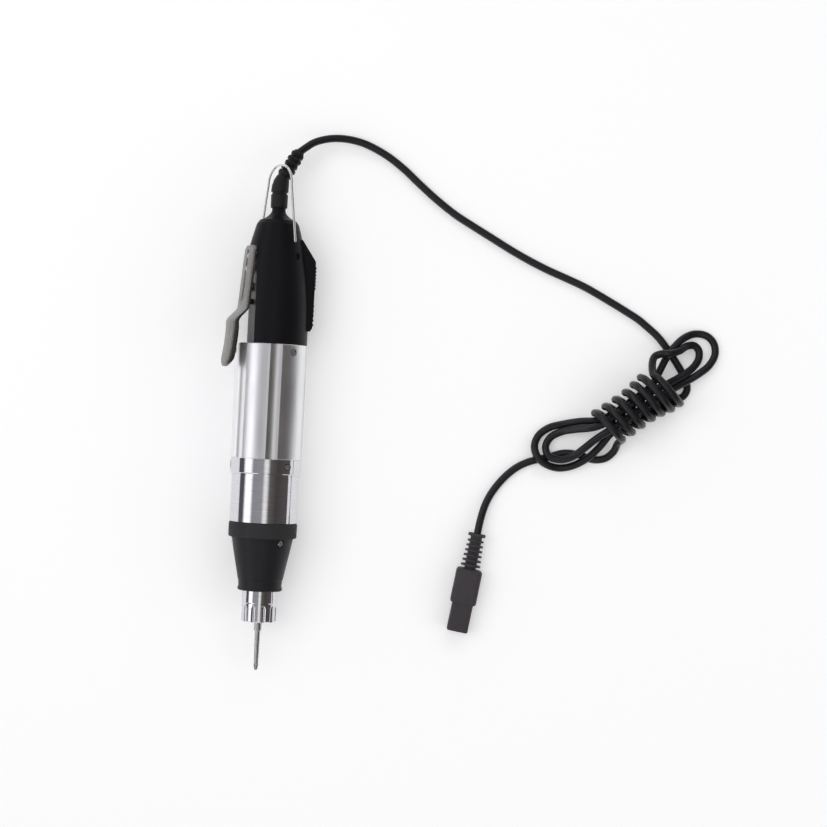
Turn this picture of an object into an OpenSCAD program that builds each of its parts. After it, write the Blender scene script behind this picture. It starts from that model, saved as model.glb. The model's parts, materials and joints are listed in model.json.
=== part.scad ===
// Electric torque screwdriver, lever start, lying on its side with its cord tied in a hank.
// Millimetres. The tool's axis runs along +Y from the bit's tip, and +Z is up.
// Each tool piece is drawn standing on the bit's tip, with the switch hump at +X and the
// lever at -X, and then laid down by on_axis().

/* [Bit] */
// Length of the slim blade, from its tip to the shank
blade_l = 20.1; // [16:0.1:24]
// Diameter of the blade beside its tip
blade_tip_d = 2.4; // [2:0.1:2.8]
// Diameter of the blade beside the shank
blade_root_d = 2.9; // [2.6:0.1:3.4]
// Diameter of the bit's shank
shank_d = 4; // [3.6:0.1:4.2]
// Length of shank that shows in front of the torque nut
shank_out = 5.3; // [4:0.1:8]
// Length of shank inside the nut and spindle
shank_in = 34.6; // [32:0.2:35.6]

/* [Torque nut] */
// Diameter of the scalloped nut
nut_d = 17.8; // [17.2:0.1:18]
// Length of the scalloped part
nut_l = 9.9; // [8:0.1:12]
// Number of scallops round the nut
scallops = 11; // [9:1:14]
// Diameter of the smooth skirt behind the scallops
skirt_d = 18.2; // [18:0.1:18.4]
// Length of skirt that shows in front of the collar
skirt_out = 6.2; // [5.5:0.1:8]
// Bore of the nut, which runs on the threaded sleeve
nut_bore_d = 14.3; // [13.8:0.1:14.6]

/* [Nose] */
// Length of the collar in front of the cone
collar_l = 5.4; // [5:0.1:7]
// Diameter of the collar
collar_d = 22.8; // [22:0.1:23.2]
// Length of the nose cone
cone_l = 22.1; // [21:0.1:25]
// Diameter of the cone's small end
cone_front_d = 23.3; // [23.2:0.1:24]
// Diameter of the cone's large end
cone_back_d = 32; // [31.6:0.1:33]
// Wall of the nose cone
cone_wall = 1.5; // [1.2:0.1:1.6]
// Length of the rubber ring
rubber_l = 7.8; // [7.4:0.1:9]
// Diameter of the rubber ring
rubber_d = 35.4; // [35.2:0.1:36.4]

/* [Gear case] */
// Length of the polished gear case
case_l = 24.1; // [23.6:0.1:28]
// Diameter of the gear case
case_d = 34.9; // [34.4:0.1:35]
// Length of the coupling ring
coupling_l = 8.8; // [8:0.1:11]
// Diameter of the coupling ring
coupling_d = 36.7; // [36:0.1:37]
// Module of the gear teeth
tooth_m = 0.6; // [0.58:0.01:0.6]
// Width of the planet gears
planet_w = 6; // [5:0.1:6.4]
// Diameter of the planet pins
planet_pin_d = 2.4; // [2:0.1:2.6]

/* [Motor] */
// Length of the fluted motor housing
motor_l = 59.1; // [57:0.1:64]
// Diameter of the motor housing across its lands
motor_d = 37; // [36.8:0.1:38.4]
// Depth of the shallow flutes
flute_depth = 0.9; // [0.5:0.1:1.2]
// Radius of the cutter that makes the flutes
flute_r = 8; // [6:0.5:9]
// Diameter of the motor's can
can_d = 30; // [29:0.1:30.2]
// Length of the motor's can
can_l = 57; // [55:0.5:60]
// Diameter of the motor's shaft
rotor_shaft_d = 3; // [2.6:0.1:3.2]

/* [Rear housing] */
// Length of the rear housing, to the end of its neck
rear_l = 70.7; // [69:0.1:74]
// Diameter of the rear housing beside the motor
rear_d = 36.2; // [35.6:0.1:36.8]
// Wall of the rear housing
rear_wall = 1.8; // [1.6:0.1:2]
// Distance from the axis to the flat under the lever
flat_x = 11.4; // [11:0.1:12]
// Width of the switch hump
hump_w = 13; // [12:0.1:14]
// Height of the hump's top above the axis
hump_r = 20; // [19.6:0.1:21]
// Diameter of the neck
neck_d = 7.1; // [6.8:0.1:7.6]

/* [Start lever] */
// Width of the lever
lever_w = 13; // [12:0.1:14]
// Thickness of the lever's sheet
lever_t = 1.3; // [1:0.1:1.5]
// Tilt of the strap away from the housing, in degrees
lever_tilt = 5; // [4.5:0.1:5.4]
// Diameter of the hinge pin
pin_d = 2; // [1.6:0.1:2.2]
// Diameter of the start switch's plunger
plunger_d = 3; // [2.4:0.1:3.4]

/* [Reversing switch] */
// Length of the sliding knob
knob_l = 13; // [11:0.1:14]
// Width of the sliding knob
knob_w = 7; // [6:0.1:8]
// Travel of the knob from its middle to each end
knob_travel = 2.2; // [1.6:0.1:2.4]

/* [Hanging bail] */
// Diameter of the bail's wire
wire_d = 1.3; // [1.1:0.1:1.5]
// Height of the bail above its pivots
bail_h = 40; // [39:0.5:46]
// Half the width of the bail at its top
bail_top_r = 9.7; // [9.2:0.1:10.5]

/* [Cord] */
// Diameter of the cord
cord_d = 4; // [3.6:0.1:4.4]
// Width of the end connector's body
end_body_w = 13.7; // [12:0.1:15]
// Length of the end connector's body
end_body_l = 18.5; // [16:0.1:21]
// Width of the end connector's nose
end_nose_w = 11; // [10:0.1:12]
// Length of the end connector's nose
end_nose_l = 14.7; // [12:0.1:17]
// Thickness of the end connector's body
end_body_t = 11; // [10:0.1:12]

/* [Placing] */
// Turn of the tool about its axis as it lies, in degrees
roll = 12; // [8:1:16]

/* [Hidden] */
$fn = 64;

// Clearances: fit for a seat, run for a turning fit
fit = 0.05;
run = 0.05;

// Stations along the axis, from the bit's tip
nut_s = blade_l + shank_out;
skirt_s = nut_s + nut_l;
collar_s = skirt_s + skirt_out;
cone_s = collar_s + collar_l;
rubber_s = cone_s + cone_l;
case_s = rubber_s + rubber_l;
coupling_s = case_s + case_l;
motor_s = coupling_s + coupling_l;
rear_s = motor_s + motor_l;
neck_s = rear_s + rear_l;

// The tool's place in the frame: origin on the surface, under the middle of the object's box
bail_s = rear_s + 53.2;
tool_len = bail_s + bail_h + wire_d / 2;
tip_y = -tool_len / 2;
axis_z = motor_d / 2;

// Nose
sleeve_d = nut_bore_d - 2 * run;
sleeve_bore_d = 12.4;
nut_in = 4;
nut_floor = 2.4;
sleeve_front_s = nut_s + nut_floor + nut_in + 1.2;
skirt_in = 0.8;
web_t = 2.5;
web_back_s = cone_s + web_t;
pusher_r = 8.4;
pusher_d = 1.6;
seat_t = 1.4;
seat_s = web_back_s + 1.8;
seat_bore_d = 15.2;
seat_d = 20;
spigot_d = 26.8;
spigot_l = 5;
spigot_s = rubber_s - spigot_l;
clutch_bore_d = 24;
carrier_bore_d = 27.2;
spring_wire = 1.6;
spring_r = 8.8;
spring_turns = 5;

// Clutch
spindle_d = 9.8;
spindle_front_s = nut_s + 2.6;
shank_end_s = nut_s + shank_in;
seat_shank_d = shank_d - 0.5;
ball_pocket_d = 4;
ball_r = 8.5;
carrier_t = 3.4;
carrier_s = case_s - 3.2;
clutch_gap = 1.1;
clutch_t = 3.2;
clutch_s = carrier_s - clutch_gap - clutch_t;
thrust_ball_d = 2;
race_t = 1.2;
race_s = clutch_s - thrust_ball_d - race_t;
spring_s = seat_s + seat_t;
key_h = 0.9;
key_w = 2.4;
journal_d = 5;

// Gear train: sun, planets and ring
sun_teeth = 12;
planet_teeth = 15;
ring_teeth = sun_teeth + 2 * planet_teeth;
planet_r = tooth_m * (sun_teeth + planet_teeth) / 2;
addendum = 0.8 * tooth_m;
dedendum = 1.1 * tooth_m;
tooth_play = 0.05;
case_bore_d = case_d - 3;
ring_gear_d = case_bore_d - 2 * fit;
stage_2_s = case_s + 1.4;
middle_t = 2;
middle_s = stage_2_s + planet_w + 0.8;
stage_1_s = middle_s + middle_t + 0.6;
plate_s = stage_1_s + planet_w + 1.4;
plate_t = coupling_s - 2.1 - plate_s;

// Motor
can_s = coupling_s - 1.9;
can_wall = 1.1;
can_end_s = can_s + can_l;
bore_d = can_d + 2 * fit;
joint_d = bore_d + 2.2;
joint_l = 4;
rear_joint_l = 10.8;
armature_d = 22.4;
armature_s = can_s + 13;
armature_l = 30;
commutator_s = armature_s + armature_l + 5;
commutator_d = 8.4;
commutator_l = 5;
bush_d = 6.9;

// Rear housing
shoulder_d = 21.8;
shoulder_at = 62.2;
flare_d = 15.6;
flare_at = 64.8;
collar_gap = 1;
flat_l = 50.6;
hump_top_s = rear_s + 43.5;
hump_end_s = rear_s + 54.6;
hump_low_s = rear_s + 7.6;

// Lever
lever_top_s = rear_s + 50.2;
lever_top_r = 13.45;
bend_s = rear_s + 18.9;
paddle_s = rear_s + 10.2;
paddle_r = 22.3;
lever_tip_s = rear_s - 12.6;
paddle_flare = 2.8;
edge_depth = 1.7;
edge_t = 1.2;
pin_s = rear_s + 47;
pin_x = 8.9;
lug_w = 8;
lug_l = 13;
rivets_s = [rear_s + 44.8, rear_s + 38.1];
plunger_s = rear_s + 21.5;
lever_spring_s = rear_s + 29;

// Reversing switch
knob_s = rear_s + 35.3;
knob_proud = 0.8;
knob_slot_l = knob_l + 2 * knob_travel + 0.4;
board_x = 3;
lever_reach = (paddle_r + paddle_flare) * cos(roll) + 3.6 * sin(roll);
hump_reach = (hump_r + knob_proud) * cos(roll) + knob_w / 2 * sin(roll);
axis_x = (lever_reach - hump_reach) / 2;

// Bail
bail_pivot_r = 14;
bail_angle = 60;

// Cord plug and boot at the neck: straight, then bent round, then straight again
plug_s = neck_s;
bend_at = 8.5;
bend_r = 18;
bend_end = 32;
bend_tilt = -32;
plug_l = 32.6;

// The cord's route on the surface, from the boot to the hank and from the hank to the end connector
run_route = [[14.6, 141.6, 11.2], [18.2, 144.2, 10], [24, 146.4, 8.5], [30.4, 147.4, 7], [37, 147.2, 5.6],
    [44, 145.8, 4.3], [51, 143, 3.2], [58, 139.2, 2.4], [66, 133.4, 2.1], [74.5, 126, 2.1], [84, 118.2, 2.1],
    [94, 111, 2.1], [104, 105.2, 2.1], [114, 99.6, 2.1], [124, 94, 2.1], [134, 88.9, 2.1], [144, 84.4, 2.1],
    [154, 80.5, 2.1], [164, 76.4, 2.1], [174, 71.3, 2.1], [184, 65.9, 2.1], [193, 60.7, 2.1],
    [198.4, 56.6, 2.1], [202.9, 52.4, 2.1], [205.6, 48.6, 2.1]];
tail_route = [[143.2, -15.6, 2.1], [138.6, -17, 2.1], [133.4, -19.7, 2.1], [129, -23.2, 2.1], [125.2, -27.2, 2.1],
    [121.6, -32, 2.2], [118.6, -37.2, 2.7], [116.4, -43, 3.7], [114.8, -49.6, 4.9], [113.8, -55.6, 5.5]];

// The hank: two flat folds of cord, with the rest wound round their middle
hank_middle = [188.6, 17.5];
hank_angle = 37.5;
hank_l = 114;
hank_w = 28;
hank_h = 8.2;
wound_l = 45;
wound_d = 24;
wound_at = [1, -4.7];
end_at = [113.7, -55.7, 5.5];
end_angle = -99;

// ---------- helpers ----------

// Lays a standing piece down along +Y
module on_axis() translate([axis_x, tip_y, axis_z]) rotate([-90, 0, 0]) rotate([0, 0, roll]) children();

// Turns a feature to its angle round the axis, seen from the bit: 0 is the hump, 180 the lever
module around(angle) rotate([0, 0, -angle]) children();

// Repeats a feature three times round the axis
module three_times() for (angle = [60, 180, 300]) around(angle) children();

// A ring between two stations
module ring(from, to, outer_d, inner_d) translate([0, 0, from]) difference() {
    cylinder(h = to - from, d = outer_d);
    translate([0, 0, -1]) cylinder(h = to - from + 2, d = inner_d);
}

module bar(from, to, d) translate([0, 0, from]) cylinder(h = to - from, d = d);

// A flat plate across the tool, given by station, height and width
module slab(from, to, x_low, x_high, width) translate([x_low, -width / 2, from])
    cube([x_high - x_low, width, to - from]);

function mix(a, b, t) = a + (b - a) * t;
function smooth(t) = t * t * (3 - 2 * t);

// A tube along points, with a radius at each of them
function unit(v) = v / norm(v);
function along(p, i) = unit(p[min(i + 1, len(p) - 1)] - p[max(i - 1, 0)]);
function level(t) = unit(cross(t, [0, 0, 1]));
module sweep(points, radii, sides) {
    n = len(points);
    rings = [for (i = [0:n - 1]) let (t = along(points, i), a = level(t), b = cross(a, t))
        for (k = [0:sides - 1]) points[i] + radii[i] * (cos(360 * k / sides) * a + sin(360 * k / sides) * b)];
    walls = [for (i = [0:n - 2], k = [0:sides - 1]) let (j = (k + 1) % sides)
        [i * sides + j, (i + 1) * sides + j, (i + 1) * sides + k, i * sides + k]];
    polyhedron(rings, concat([[for (k = [sides - 1:-1:0]) k]], walls,
        [[for (k = [0:sides - 1]) (n - 1) * sides + k]]), convexity = 10);
}

// Involute teeth: half the angle that a tooth covers at radius r, with play taken off each flank
function involute(a) = tan(a) * 180 / PI - a;
function flank(teeth, r, play) = let (pitch_r = tooth_m * teeth / 2, base_r = pitch_r * cos(20))
    90 / teeth - play / pitch_r * 180 / PI + involute(20) - involute(r > base_r ? acos(base_r / r) : 0);
function gear_outline(teeth, low_r, high_r, play) = let (steps = [low_r, mix(low_r, high_r, 0.36),
    mix(low_r, high_r, 0.68), high_r]) [for (i = [0:teeth - 1]) each concat(
    [for (r = steps) let (a = i * 360 / teeth - flank(teeth, r, play)) r * [cos(a), sin(a)]],
    [for (k = [3:-1:0]) let (a = i * 360 / teeth + flank(teeth, steps[k], play)) steps[k] * [cos(a), sin(a)]])];
module gear(teeth, width) linear_extrude(width)
    polygon(gear_outline(teeth, tooth_m * teeth / 2 - dedendum, tooth_m * teeth / 2 + addendum, tooth_play));
module planet(stage_s, angle) rotate([0, 0, angle]) translate([planet_r, 0, stage_s]) difference() {
    gear(planet_teeth, planet_w);
    translate([0, 0, -1]) cylinder(h = planet_w + 2, d = planet_pin_d + 2 * run);
}
module planet_pins(from, to) for (angle = [0, 120, 240]) rotate([0, 0, angle]) translate([planet_r, 0, 0])
    bar(from, to, planet_pin_d);

// A pan-head screw pointing at the axis, its head under face_r
screw_head_d = 3.4;
screw_d = 1.8;
module case_screw(s, face_r, tip_r) translate([0, 0, s]) rotate([0, 90, 0]) {
    translate([0, 0, tip_r]) cylinder(h = face_r - tip_r, d = screw_d);
    difference() {
        translate([0, 0, face_r - 0.75]) cylinder(h = 0.9, d1 = screw_head_d, d2 = screw_head_d - 0.7);
        translate([-0.25, -2, face_r - 0.15]) cube([0.5, 4, 1]);
        translate([-2, -0.25, face_r - 0.15]) cube([4, 0.5, 1]);
    }
}
module screw_hole(s, face_r, from_r) translate([0, 0, s]) rotate([0, 90, 0]) {
    translate([0, 0, from_r]) cylinder(h = face_r - from_r + 1, d = screw_d + 2 * fit);
    translate([0, 0, face_r - 0.75]) cylinder(h = 3, d = screw_head_d + 0.5);
}

// ---------- bit and spindle ----------

module bit() color("silver") on_axis() difference() {
    rotate_extrude() polygon([[0, 0], [0.35, 0], [0.75, 0.5], [blade_tip_d / 2, 2.4],
        [blade_root_d / 2, blade_l], [shank_d / 2 - 0.1, blade_l + 0.5], [shank_d / 2, blade_l + 0.9],
        [shank_d / 2, nut_s], [seat_shank_d / 2, nut_s], [seat_shank_d / 2, shank_end_s - 0.5],
        [seat_shank_d / 2 - 0.5, shank_end_s], [0, shank_end_s]]);
    for (angle = [45:90:315]) rotate([0, 0, angle]) translate([0.3, 0, -0.2]) rotate([0, 8, 0])
        rotate([0, 0, 45]) translate([0, -1.6, 0]) rotate([0, -4, 0]) cube([1.6, 1.6, 3.6]);
    ring(shank_end_s - 13.6, shank_end_s - 11.2, shank_d + 2, shank_d - 0.76);
    slab(shank_end_s - 7, shank_end_s + 1, shank_d / 2 - 0.7, shank_d, shank_d + 2);
}

module spindle() color("lightsteelblue") on_axis() difference() {
    union() {
        translate([0, 0, spindle_front_s]) cylinder(h = 0.6, d1 = spindle_d - 1.2, d2 = spindle_d);
        bar(spindle_front_s + 0.6, carrier_s - 0.3, spindle_d);
        bar(carrier_s - 0.3, carrier_s + carrier_t, journal_d);
        for (angle = [0, 120, 240]) rotate([0, 0, angle])
            slab(race_s + 1.7, carrier_s - 0.4, spindle_d / 2 - 0.5, spindle_d / 2 + key_h, key_w);
    }
    difference() {
        bar(spindle_front_s - 1, shank_end_s + 0.2, seat_shank_d + 2 * fit);
        slab(shank_end_s - 6.9, shank_end_s + 1, shank_d / 2 - 0.7 + fit, shank_d + 1, shank_d + 2);
    }
    translate([0, 0, shank_end_s - 12.4]) rotate([0, 90, 0]) cylinder(h = spindle_d, d = 2.1);
    ring(shank_end_s - 13.6, shank_end_s - 11.2, spindle_d + 2, 7.4);
}

module bit_ball() color("gainsboro") on_axis()
    translate([shank_d / 2 - 0.36 + 1, 0, shank_end_s - 12.4]) sphere(d = 2);

module bit_clip() color("dimgray") on_axis() difference() {
    ring(shank_end_s - 13.4, shank_end_s - 11.4, spindle_d - 0.2, 7.4);
    slab(shank_end_s - 15, shank_end_s - 10, -spindle_d, -1, 2.4);
}

module front_bush() color("goldenrod") on_axis() {
    ring(sleeve_front_s - 0.8, sleeve_front_s, sleeve_d - 0.4, spindle_d + 2 * run);
    ring(sleeve_front_s, sleeve_front_s + 12, sleeve_bore_d, spindle_d + 2 * run);
}

// ---------- nose ----------

module thread_sleeve() color("silver") on_axis() {
    ring(sleeve_front_s, web_back_s, sleeve_d, sleeve_bore_d);
    ring(web_back_s, web_back_s + 1, sleeve_d + 0.8, sleeve_bore_d);
    ring(web_back_s + 1, race_s - 4, sleeve_d - 0.4, sleeve_bore_d);
}

module torque_nut() color("white") on_axis() difference() {
    rotate_extrude() polygon([[5.4, nut_s], [nut_d / 2 - 0.5, nut_s], [nut_d / 2, nut_s + 0.5],
        [nut_d / 2, skirt_s - 0.4], [skirt_d / 2, skirt_s], [skirt_d / 2, collar_s + skirt_in],
        [nut_bore_d / 2, collar_s + skirt_in], [nut_bore_d / 2, nut_s + nut_floor], [5.4, nut_s + nut_floor]]);
    for (i = [0:scallops - 1]) rotate([0, 0, (i + 0.5) * 360 / scallops])
        translate([nut_d / 2 + 0.75, 0, nut_s - 1]) {
            cylinder(h = nut_l - 1.6, d = 3.2);
            translate([0, 0, nut_l - 1.6]) cylinder(h = 1.8, d1 = 3.2, d2 = 1.2);
        }
}

module nose_collar() color([0.14, 0.13, 0.14]) on_axis() rotate_extrude() polygon([
    [skirt_d / 2 + 0.25, collar_s], [collar_d / 2 - 0.3, collar_s], [collar_d / 2 + 0.15, collar_s + 0.5],
    [collar_d / 2 + 0.15, collar_s + 1.4], [collar_d / 2 - 0.25, collar_s + 2.2],
    [collar_d / 2, cone_s], [skirt_d / 2 + 0.25, cone_s]]);

function cone_r(s) = mix(cone_front_d, cone_back_d, (s - cone_s) / cone_l) / 2;
nose_screw_s = rubber_s - 2.2;
module nose_cone() color([0.18, 0.17, 0.19]) on_axis() difference() {
    rotate_extrude() polygon([[sleeve_d / 2, cone_s], [cone_front_d / 2 - 0.3, cone_s],
        [cone_front_d / 2, cone_s + 0.3], [cone_back_d / 2, rubber_s], [spigot_d / 2 + fit, rubber_s],
        [spigot_d / 2 + fit, spigot_s - 0.3], [cone_r(spigot_s - 0.3) - cone_wall, spigot_s - 0.3],
        [cone_r(web_back_s) - cone_wall, web_back_s], [sleeve_d / 2, web_back_s]]);
    three_times() screw_hole(nose_screw_s, cone_r(nose_screw_s), 10);
    for (angle = [0, 120, 240]) rotate([0, 0, angle]) translate([pusher_r, 0, 0])
        bar(cone_s - 1, web_back_s + 1, pusher_d + 2 * run);
}

module nose_screws() color("silver") on_axis() three_times()
    case_screw(nose_screw_s, cone_r(nose_screw_s), clutch_bore_d / 2);

module pusher_pins() color("silver") on_axis() for (angle = [0, 120, 240]) rotate([0, 0, angle])
    translate([pusher_r, 0, 0]) bar(collar_s + skirt_in + 0.05, seat_s, pusher_d);

module spring_seat() color("gray") on_axis() ring(seat_s, seat_s + seat_t, seat_d, seat_bore_d);

module clutch_spring() color("slategray") on_axis() {
    steps = spring_turns * 12;
    rise = race_s - spring_s - spring_wire - 0.1;
    points = [for (i = [0:steps]) let (a = i * 30, h = min(max(i / steps * 1.3 - 0.15, 0), 1))
        [spring_r * cos(a), spring_r * sin(a), spring_s + spring_wire / 2 + 0.05 + rise * h]];
    sweep(points, [for (p = points) spring_wire / 2], 8);
}

// ---------- torque clutch ----------

module thrust_race() color("silver") on_axis() ring(race_s, race_s + race_t, 20.4, sleeve_d + 0.2);

module thrust_balls() color("gainsboro") on_axis() for (i = [0:9]) rotate([0, 0, i * 36])
    translate([8.6, 0, race_s + race_t + thrust_ball_d / 2]) sphere(d = thrust_ball_d - 0.04, $fn = 24);

module ball_places() for (angle = [60, 180, 300]) rotate([0, 0, angle])
    translate([ball_r, 0, carrier_s - clutch_gap / 2]) children();

module clutch_plate() color("lightgray") on_axis() difference() {
    ring(clutch_s, clutch_s + clutch_t, clutch_bore_d - 1, spindle_d + 2 * run);
    ball_places() sphere(d = ball_pocket_d + 0.1);
    for (angle = [0, 120, 240]) rotate([0, 0, angle]) slab(clutch_s - 1, clutch_s + clutch_t + 1,
        spindle_d / 2 - 0.5, spindle_d / 2 + key_h + 0.1, key_w + 0.2);
}

module clutch_balls() color("gainsboro") on_axis() ball_places() sphere(d = ball_pocket_d);

module output_carrier() color("darkgray") on_axis() {
    difference() {
        ring(carrier_s, carrier_s + carrier_t, clutch_bore_d - 0.4, journal_d + 2 * run);
        ball_places() sphere(d = ball_pocket_d + 0.1);
    }
    planet_pins(carrier_s + carrier_t, stage_2_s + planet_w + 0.2);
}

module carrier_bush() color("goldenrod") on_axis()
    ring(carrier_s + 0.2, case_s - 0.1, carrier_bore_d - 2 * fit, clutch_bore_d - 0.4 + 2 * run);

// ---------- gear case ----------

module rubber_ring() color([0.1, 0.1, 0.11]) on_axis() rotate_extrude() polygon([
    [case_d / 2 - 2.2, rubber_s], [rubber_d / 2 - 0.5, rubber_s], [rubber_d / 2 - 0.1, rubber_s + 0.5],
    [rubber_d / 2, case_s - 1.2], [rubber_d / 2 - 0.3, case_s - 0.3], [rubber_d / 2 - 0.5, case_s],
    [case_d / 2 - 2.2, case_s]]);

module gear_case() color("gainsboro") on_axis() difference() {
    rotate_extrude() polygon([[clutch_bore_d / 2, spigot_s], [spigot_d / 2, spigot_s],
        [spigot_d / 2, rubber_s], [case_d / 2 - 2.2, rubber_s], [case_d / 2 - 2.2, case_s],
        [case_d / 2 - 0.2, case_s], [case_d / 2, case_s + 0.2], [case_d / 2, coupling_s],
        [case_bore_d / 2, coupling_s], [case_bore_d / 2, case_s + 0.2], [carrier_bore_d / 2, case_s + 0.2],
        [carrier_bore_d / 2, carrier_s - 1.5], [clutch_bore_d / 2, carrier_s - 1.5]]);
    three_times() screw_hole(nose_screw_s, cone_r(nose_screw_s), 10);
}

module ring_gear() color("darkgray") on_axis() difference() {
    bar(case_s + 0.2, plate_s, ring_gear_d);
    translate([0, 0, case_s - 1]) linear_extrude(plate_s - case_s + 2) polygon(gear_outline(ring_teeth,
        tooth_m * ring_teeth / 2 - addendum, tooth_m * ring_teeth / 2 + dedendum, -tooth_play));
}

module planet_2a() color("silver") on_axis() planet(stage_2_s, 0);
module planet_2b() color("silver") on_axis() planet(stage_2_s, 120);
module planet_2c() color("silver") on_axis() planet(stage_2_s, 240);
module planet_1a() color("silver") on_axis() planet(stage_1_s, 0);
module planet_1b() color("silver") on_axis() planet(stage_1_s, 120);
module planet_1c() color("silver") on_axis() planet(stage_1_s, 240);

module middle_carrier() color("darkgray") on_axis() {
    translate([0, 0, stage_2_s]) gear(sun_teeth, middle_s - stage_2_s);
    bar(middle_s, middle_s + middle_t, 2 * planet_r + 6.4);
    planet_pins(middle_s + middle_t, stage_1_s + planet_w + 0.2);
}

module gear_plate() color("lightgray") on_axis() ring(plate_s, plate_s + plate_t, ring_gear_d, 9.4);

module coupling_ring() color("gainsboro") on_axis() difference() {
    rotate_extrude() polygon([[bore_d / 2, plate_s + plate_t], [case_bore_d / 2 - fit, plate_s + plate_t],
        [case_bore_d / 2 - fit, coupling_s], [coupling_d / 2 - 0.4, coupling_s],
        [coupling_d / 2 - 0.25, coupling_s + 0.6], [coupling_d / 2 - 1, coupling_s + 0.7],
        [coupling_d / 2 - 1, coupling_s + 1.1], [coupling_d / 2 - 0.2, coupling_s + 1.2],
        [coupling_d / 2, coupling_s + 1.5], [coupling_d / 2, motor_s], [joint_d / 2, motor_s],
        [joint_d / 2, motor_s + joint_l - 0.2], [bore_d / 2, motor_s + joint_l - 0.2]]);
    three_times() screw_hole(motor_s - 3.6, coupling_d / 2, bore_d / 2 - 1);
}

module coupling_screws() color("white") on_axis() three_times()
    case_screw(motor_s - 3.6, coupling_d / 2, bore_d / 2 + 0.1);

// ---------- motor ----------

module motor_housing() color([0.78, 0.78, 0.77]) on_axis() difference() {
    rotate_extrude() polygon([[joint_d / 2 + fit, motor_s], [motor_d / 2 - 0.3, motor_s],
        [motor_d / 2, motor_s + 0.3], [motor_d / 2, rear_s - 0.3], [motor_d / 2 - 0.3, rear_s],
        [joint_d / 2 + fit, rear_s], [joint_d / 2 + fit, rear_s - rear_joint_l], [bore_d / 2, rear_s - rear_joint_l],
        [bore_d / 2, motor_s + joint_l], [joint_d / 2 + fit, motor_s + joint_l]]);
    for (angle = [30:60:330]) around(angle) translate([motor_d / 2 - flute_depth + flute_r, 0, motor_s - 1])
        cylinder(h = motor_l + 2, r = flute_r);
    three_times() screw_hole(rear_s - 3.8, motor_d / 2, joint_d / 2 - 1);
}

module motor_screws() color("white") on_axis() three_times()
    case_screw(rear_s - 3.8, motor_d / 2, joint_d / 2 - rear_wall + 0.6);

module motor_can() color("slategray") on_axis() {
    ring(can_s, can_end_s, can_d, can_d - 2 * can_wall);
    ring(can_s, can_s + 1.5, can_d - 2 * can_wall, bush_d + 2 * fit);
}

module magnets() color("dimgray") on_axis() for (angle = [0, 180]) rotate([0, 0, angle]) intersection() {
    ring(armature_s - 3, armature_s + armature_l + 3, can_d - 2 * can_wall - 0.1, armature_d + 1);
    rotate([0, 0, -60]) linear_extrude(can_end_s) polygon([[0, 0], [30, 0], [60, 60], [-15, 26]]);
}

module motor_end_cap() color("ivory") on_axis() {
    ring(can_end_s - 3.5, can_end_s, can_d - 2 * can_wall - 0.1, bush_d + 2 * fit);
    for (angle = [0, 180]) rotate([0, 0, angle]) difference() {
        slab(commutator_s - 1, can_end_s - 3.5, commutator_d / 2 + 0.6, 12.4, 6);
        slab(commutator_s + 0.4, commutator_s + commutator_l - 0.6, 0, 14, 3.6);
    }
}

module motor_bushes() color("goldenrod") on_axis() {
    ring(can_s, can_s + 4, bush_d, rotor_shaft_d + 2 * run);
    ring(can_end_s - 3.5, can_end_s + 0.8, bush_d, rotor_shaft_d + 2 * run);
}

module rotor() color("gray") on_axis() {
    difference() {
        union() {
            translate([0, 0, stage_1_s]) gear(sun_teeth, planet_w + 1);
            bar(stage_1_s + planet_w + 1, can_s - 0.3, 2 * (tooth_m * sun_teeth / 2 - dedendum));
        }
        bar(stage_1_s - 1, can_s, rotor_shaft_d);
    }
    bar(stage_1_s, can_end_s + 2.5, rotor_shaft_d);
    difference() {
        ring(armature_s, armature_s + armature_l, armature_d, rotor_shaft_d);
        for (i = [0:4]) rotate([0, 0, i * 72]) {
            translate([7.4, 0, armature_s - 1]) cylinder(h = armature_l + 2, d = 5.2);
            slab(armature_s - 1, armature_s + armature_l + 1, 8, 13, 1.8);
        }
    }
}

module windings() color("peru") on_axis() {
    for (s = [armature_s - 3.4, armature_s + armature_l]) translate([0, 0, s]) rotate_extrude()
        polygon([[2.2, 0.6], [3, 0], [9, 0], [10, 1], [10, 2.4], [9, 3.4], [3, 3.4], [2.2, 2.8]]);
    for (i = [0:4]) rotate([0, 0, i * 72]) translate([7.4, 0, 0])
        bar(armature_s - 0.5, armature_s + armature_l + 0.5, 5);
}

module commutator() color("chocolate") on_axis() difference() {
    ring(armature_s + armature_l + 3.4, commutator_s + commutator_l, commutator_d, rotor_shaft_d);
    for (i = [0:4]) rotate([0, 0, i * 72]) slab(commutator_s, commutator_s + commutator_l + 1, 3.2, 6, 0.5);
}

module brushes() color([0.2, 0.2, 0.2]) on_axis() for (angle = [0, 180]) rotate([0, 0, angle])
    slab(commutator_s + 0.4, commutator_s + commutator_l - 0.6, commutator_d / 2 + 0.05, 12, 3.6);

// ---------- rear housing ----------

// Radius of the rear housing at a distance from its joint with the motor housing
belly_at = 8;
function rear_r(at) = at < belly_at ? rear_d / 2 : rear_d / 2 - (rear_d - shoulder_d) / 2
    * pow((at - belly_at) / (shoulder_at - belly_at), 2.3);
function flare_r(t) = mix(neck_d, flare_d, pow(1 - t, 2)) / 2;
rear_steps = [for (i = [0:14]) mix(belly_at, shoulder_at, i / 14)];
neck_groove_at = rear_l - collar_gap - 0.2;

module rear_outside() rotate_extrude() polygon(concat([[0, rear_s], [rear_d / 2 - 0.2, rear_s],
    [rear_d / 2, rear_s + 0.2]], [for (at = rear_steps) [rear_r(at), rear_s + at]],
    [[mix(shoulder_d, flare_d, 0.45) / 2, rear_s + mix(shoulder_at, flare_at, 0.75)]],
    [for (i = [0:6]) [flare_r(i / 6), rear_s + mix(flare_at, neck_groove_at, i / 6)]],
    [[neck_d / 2, neck_s], [0, neck_s]]));

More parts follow.
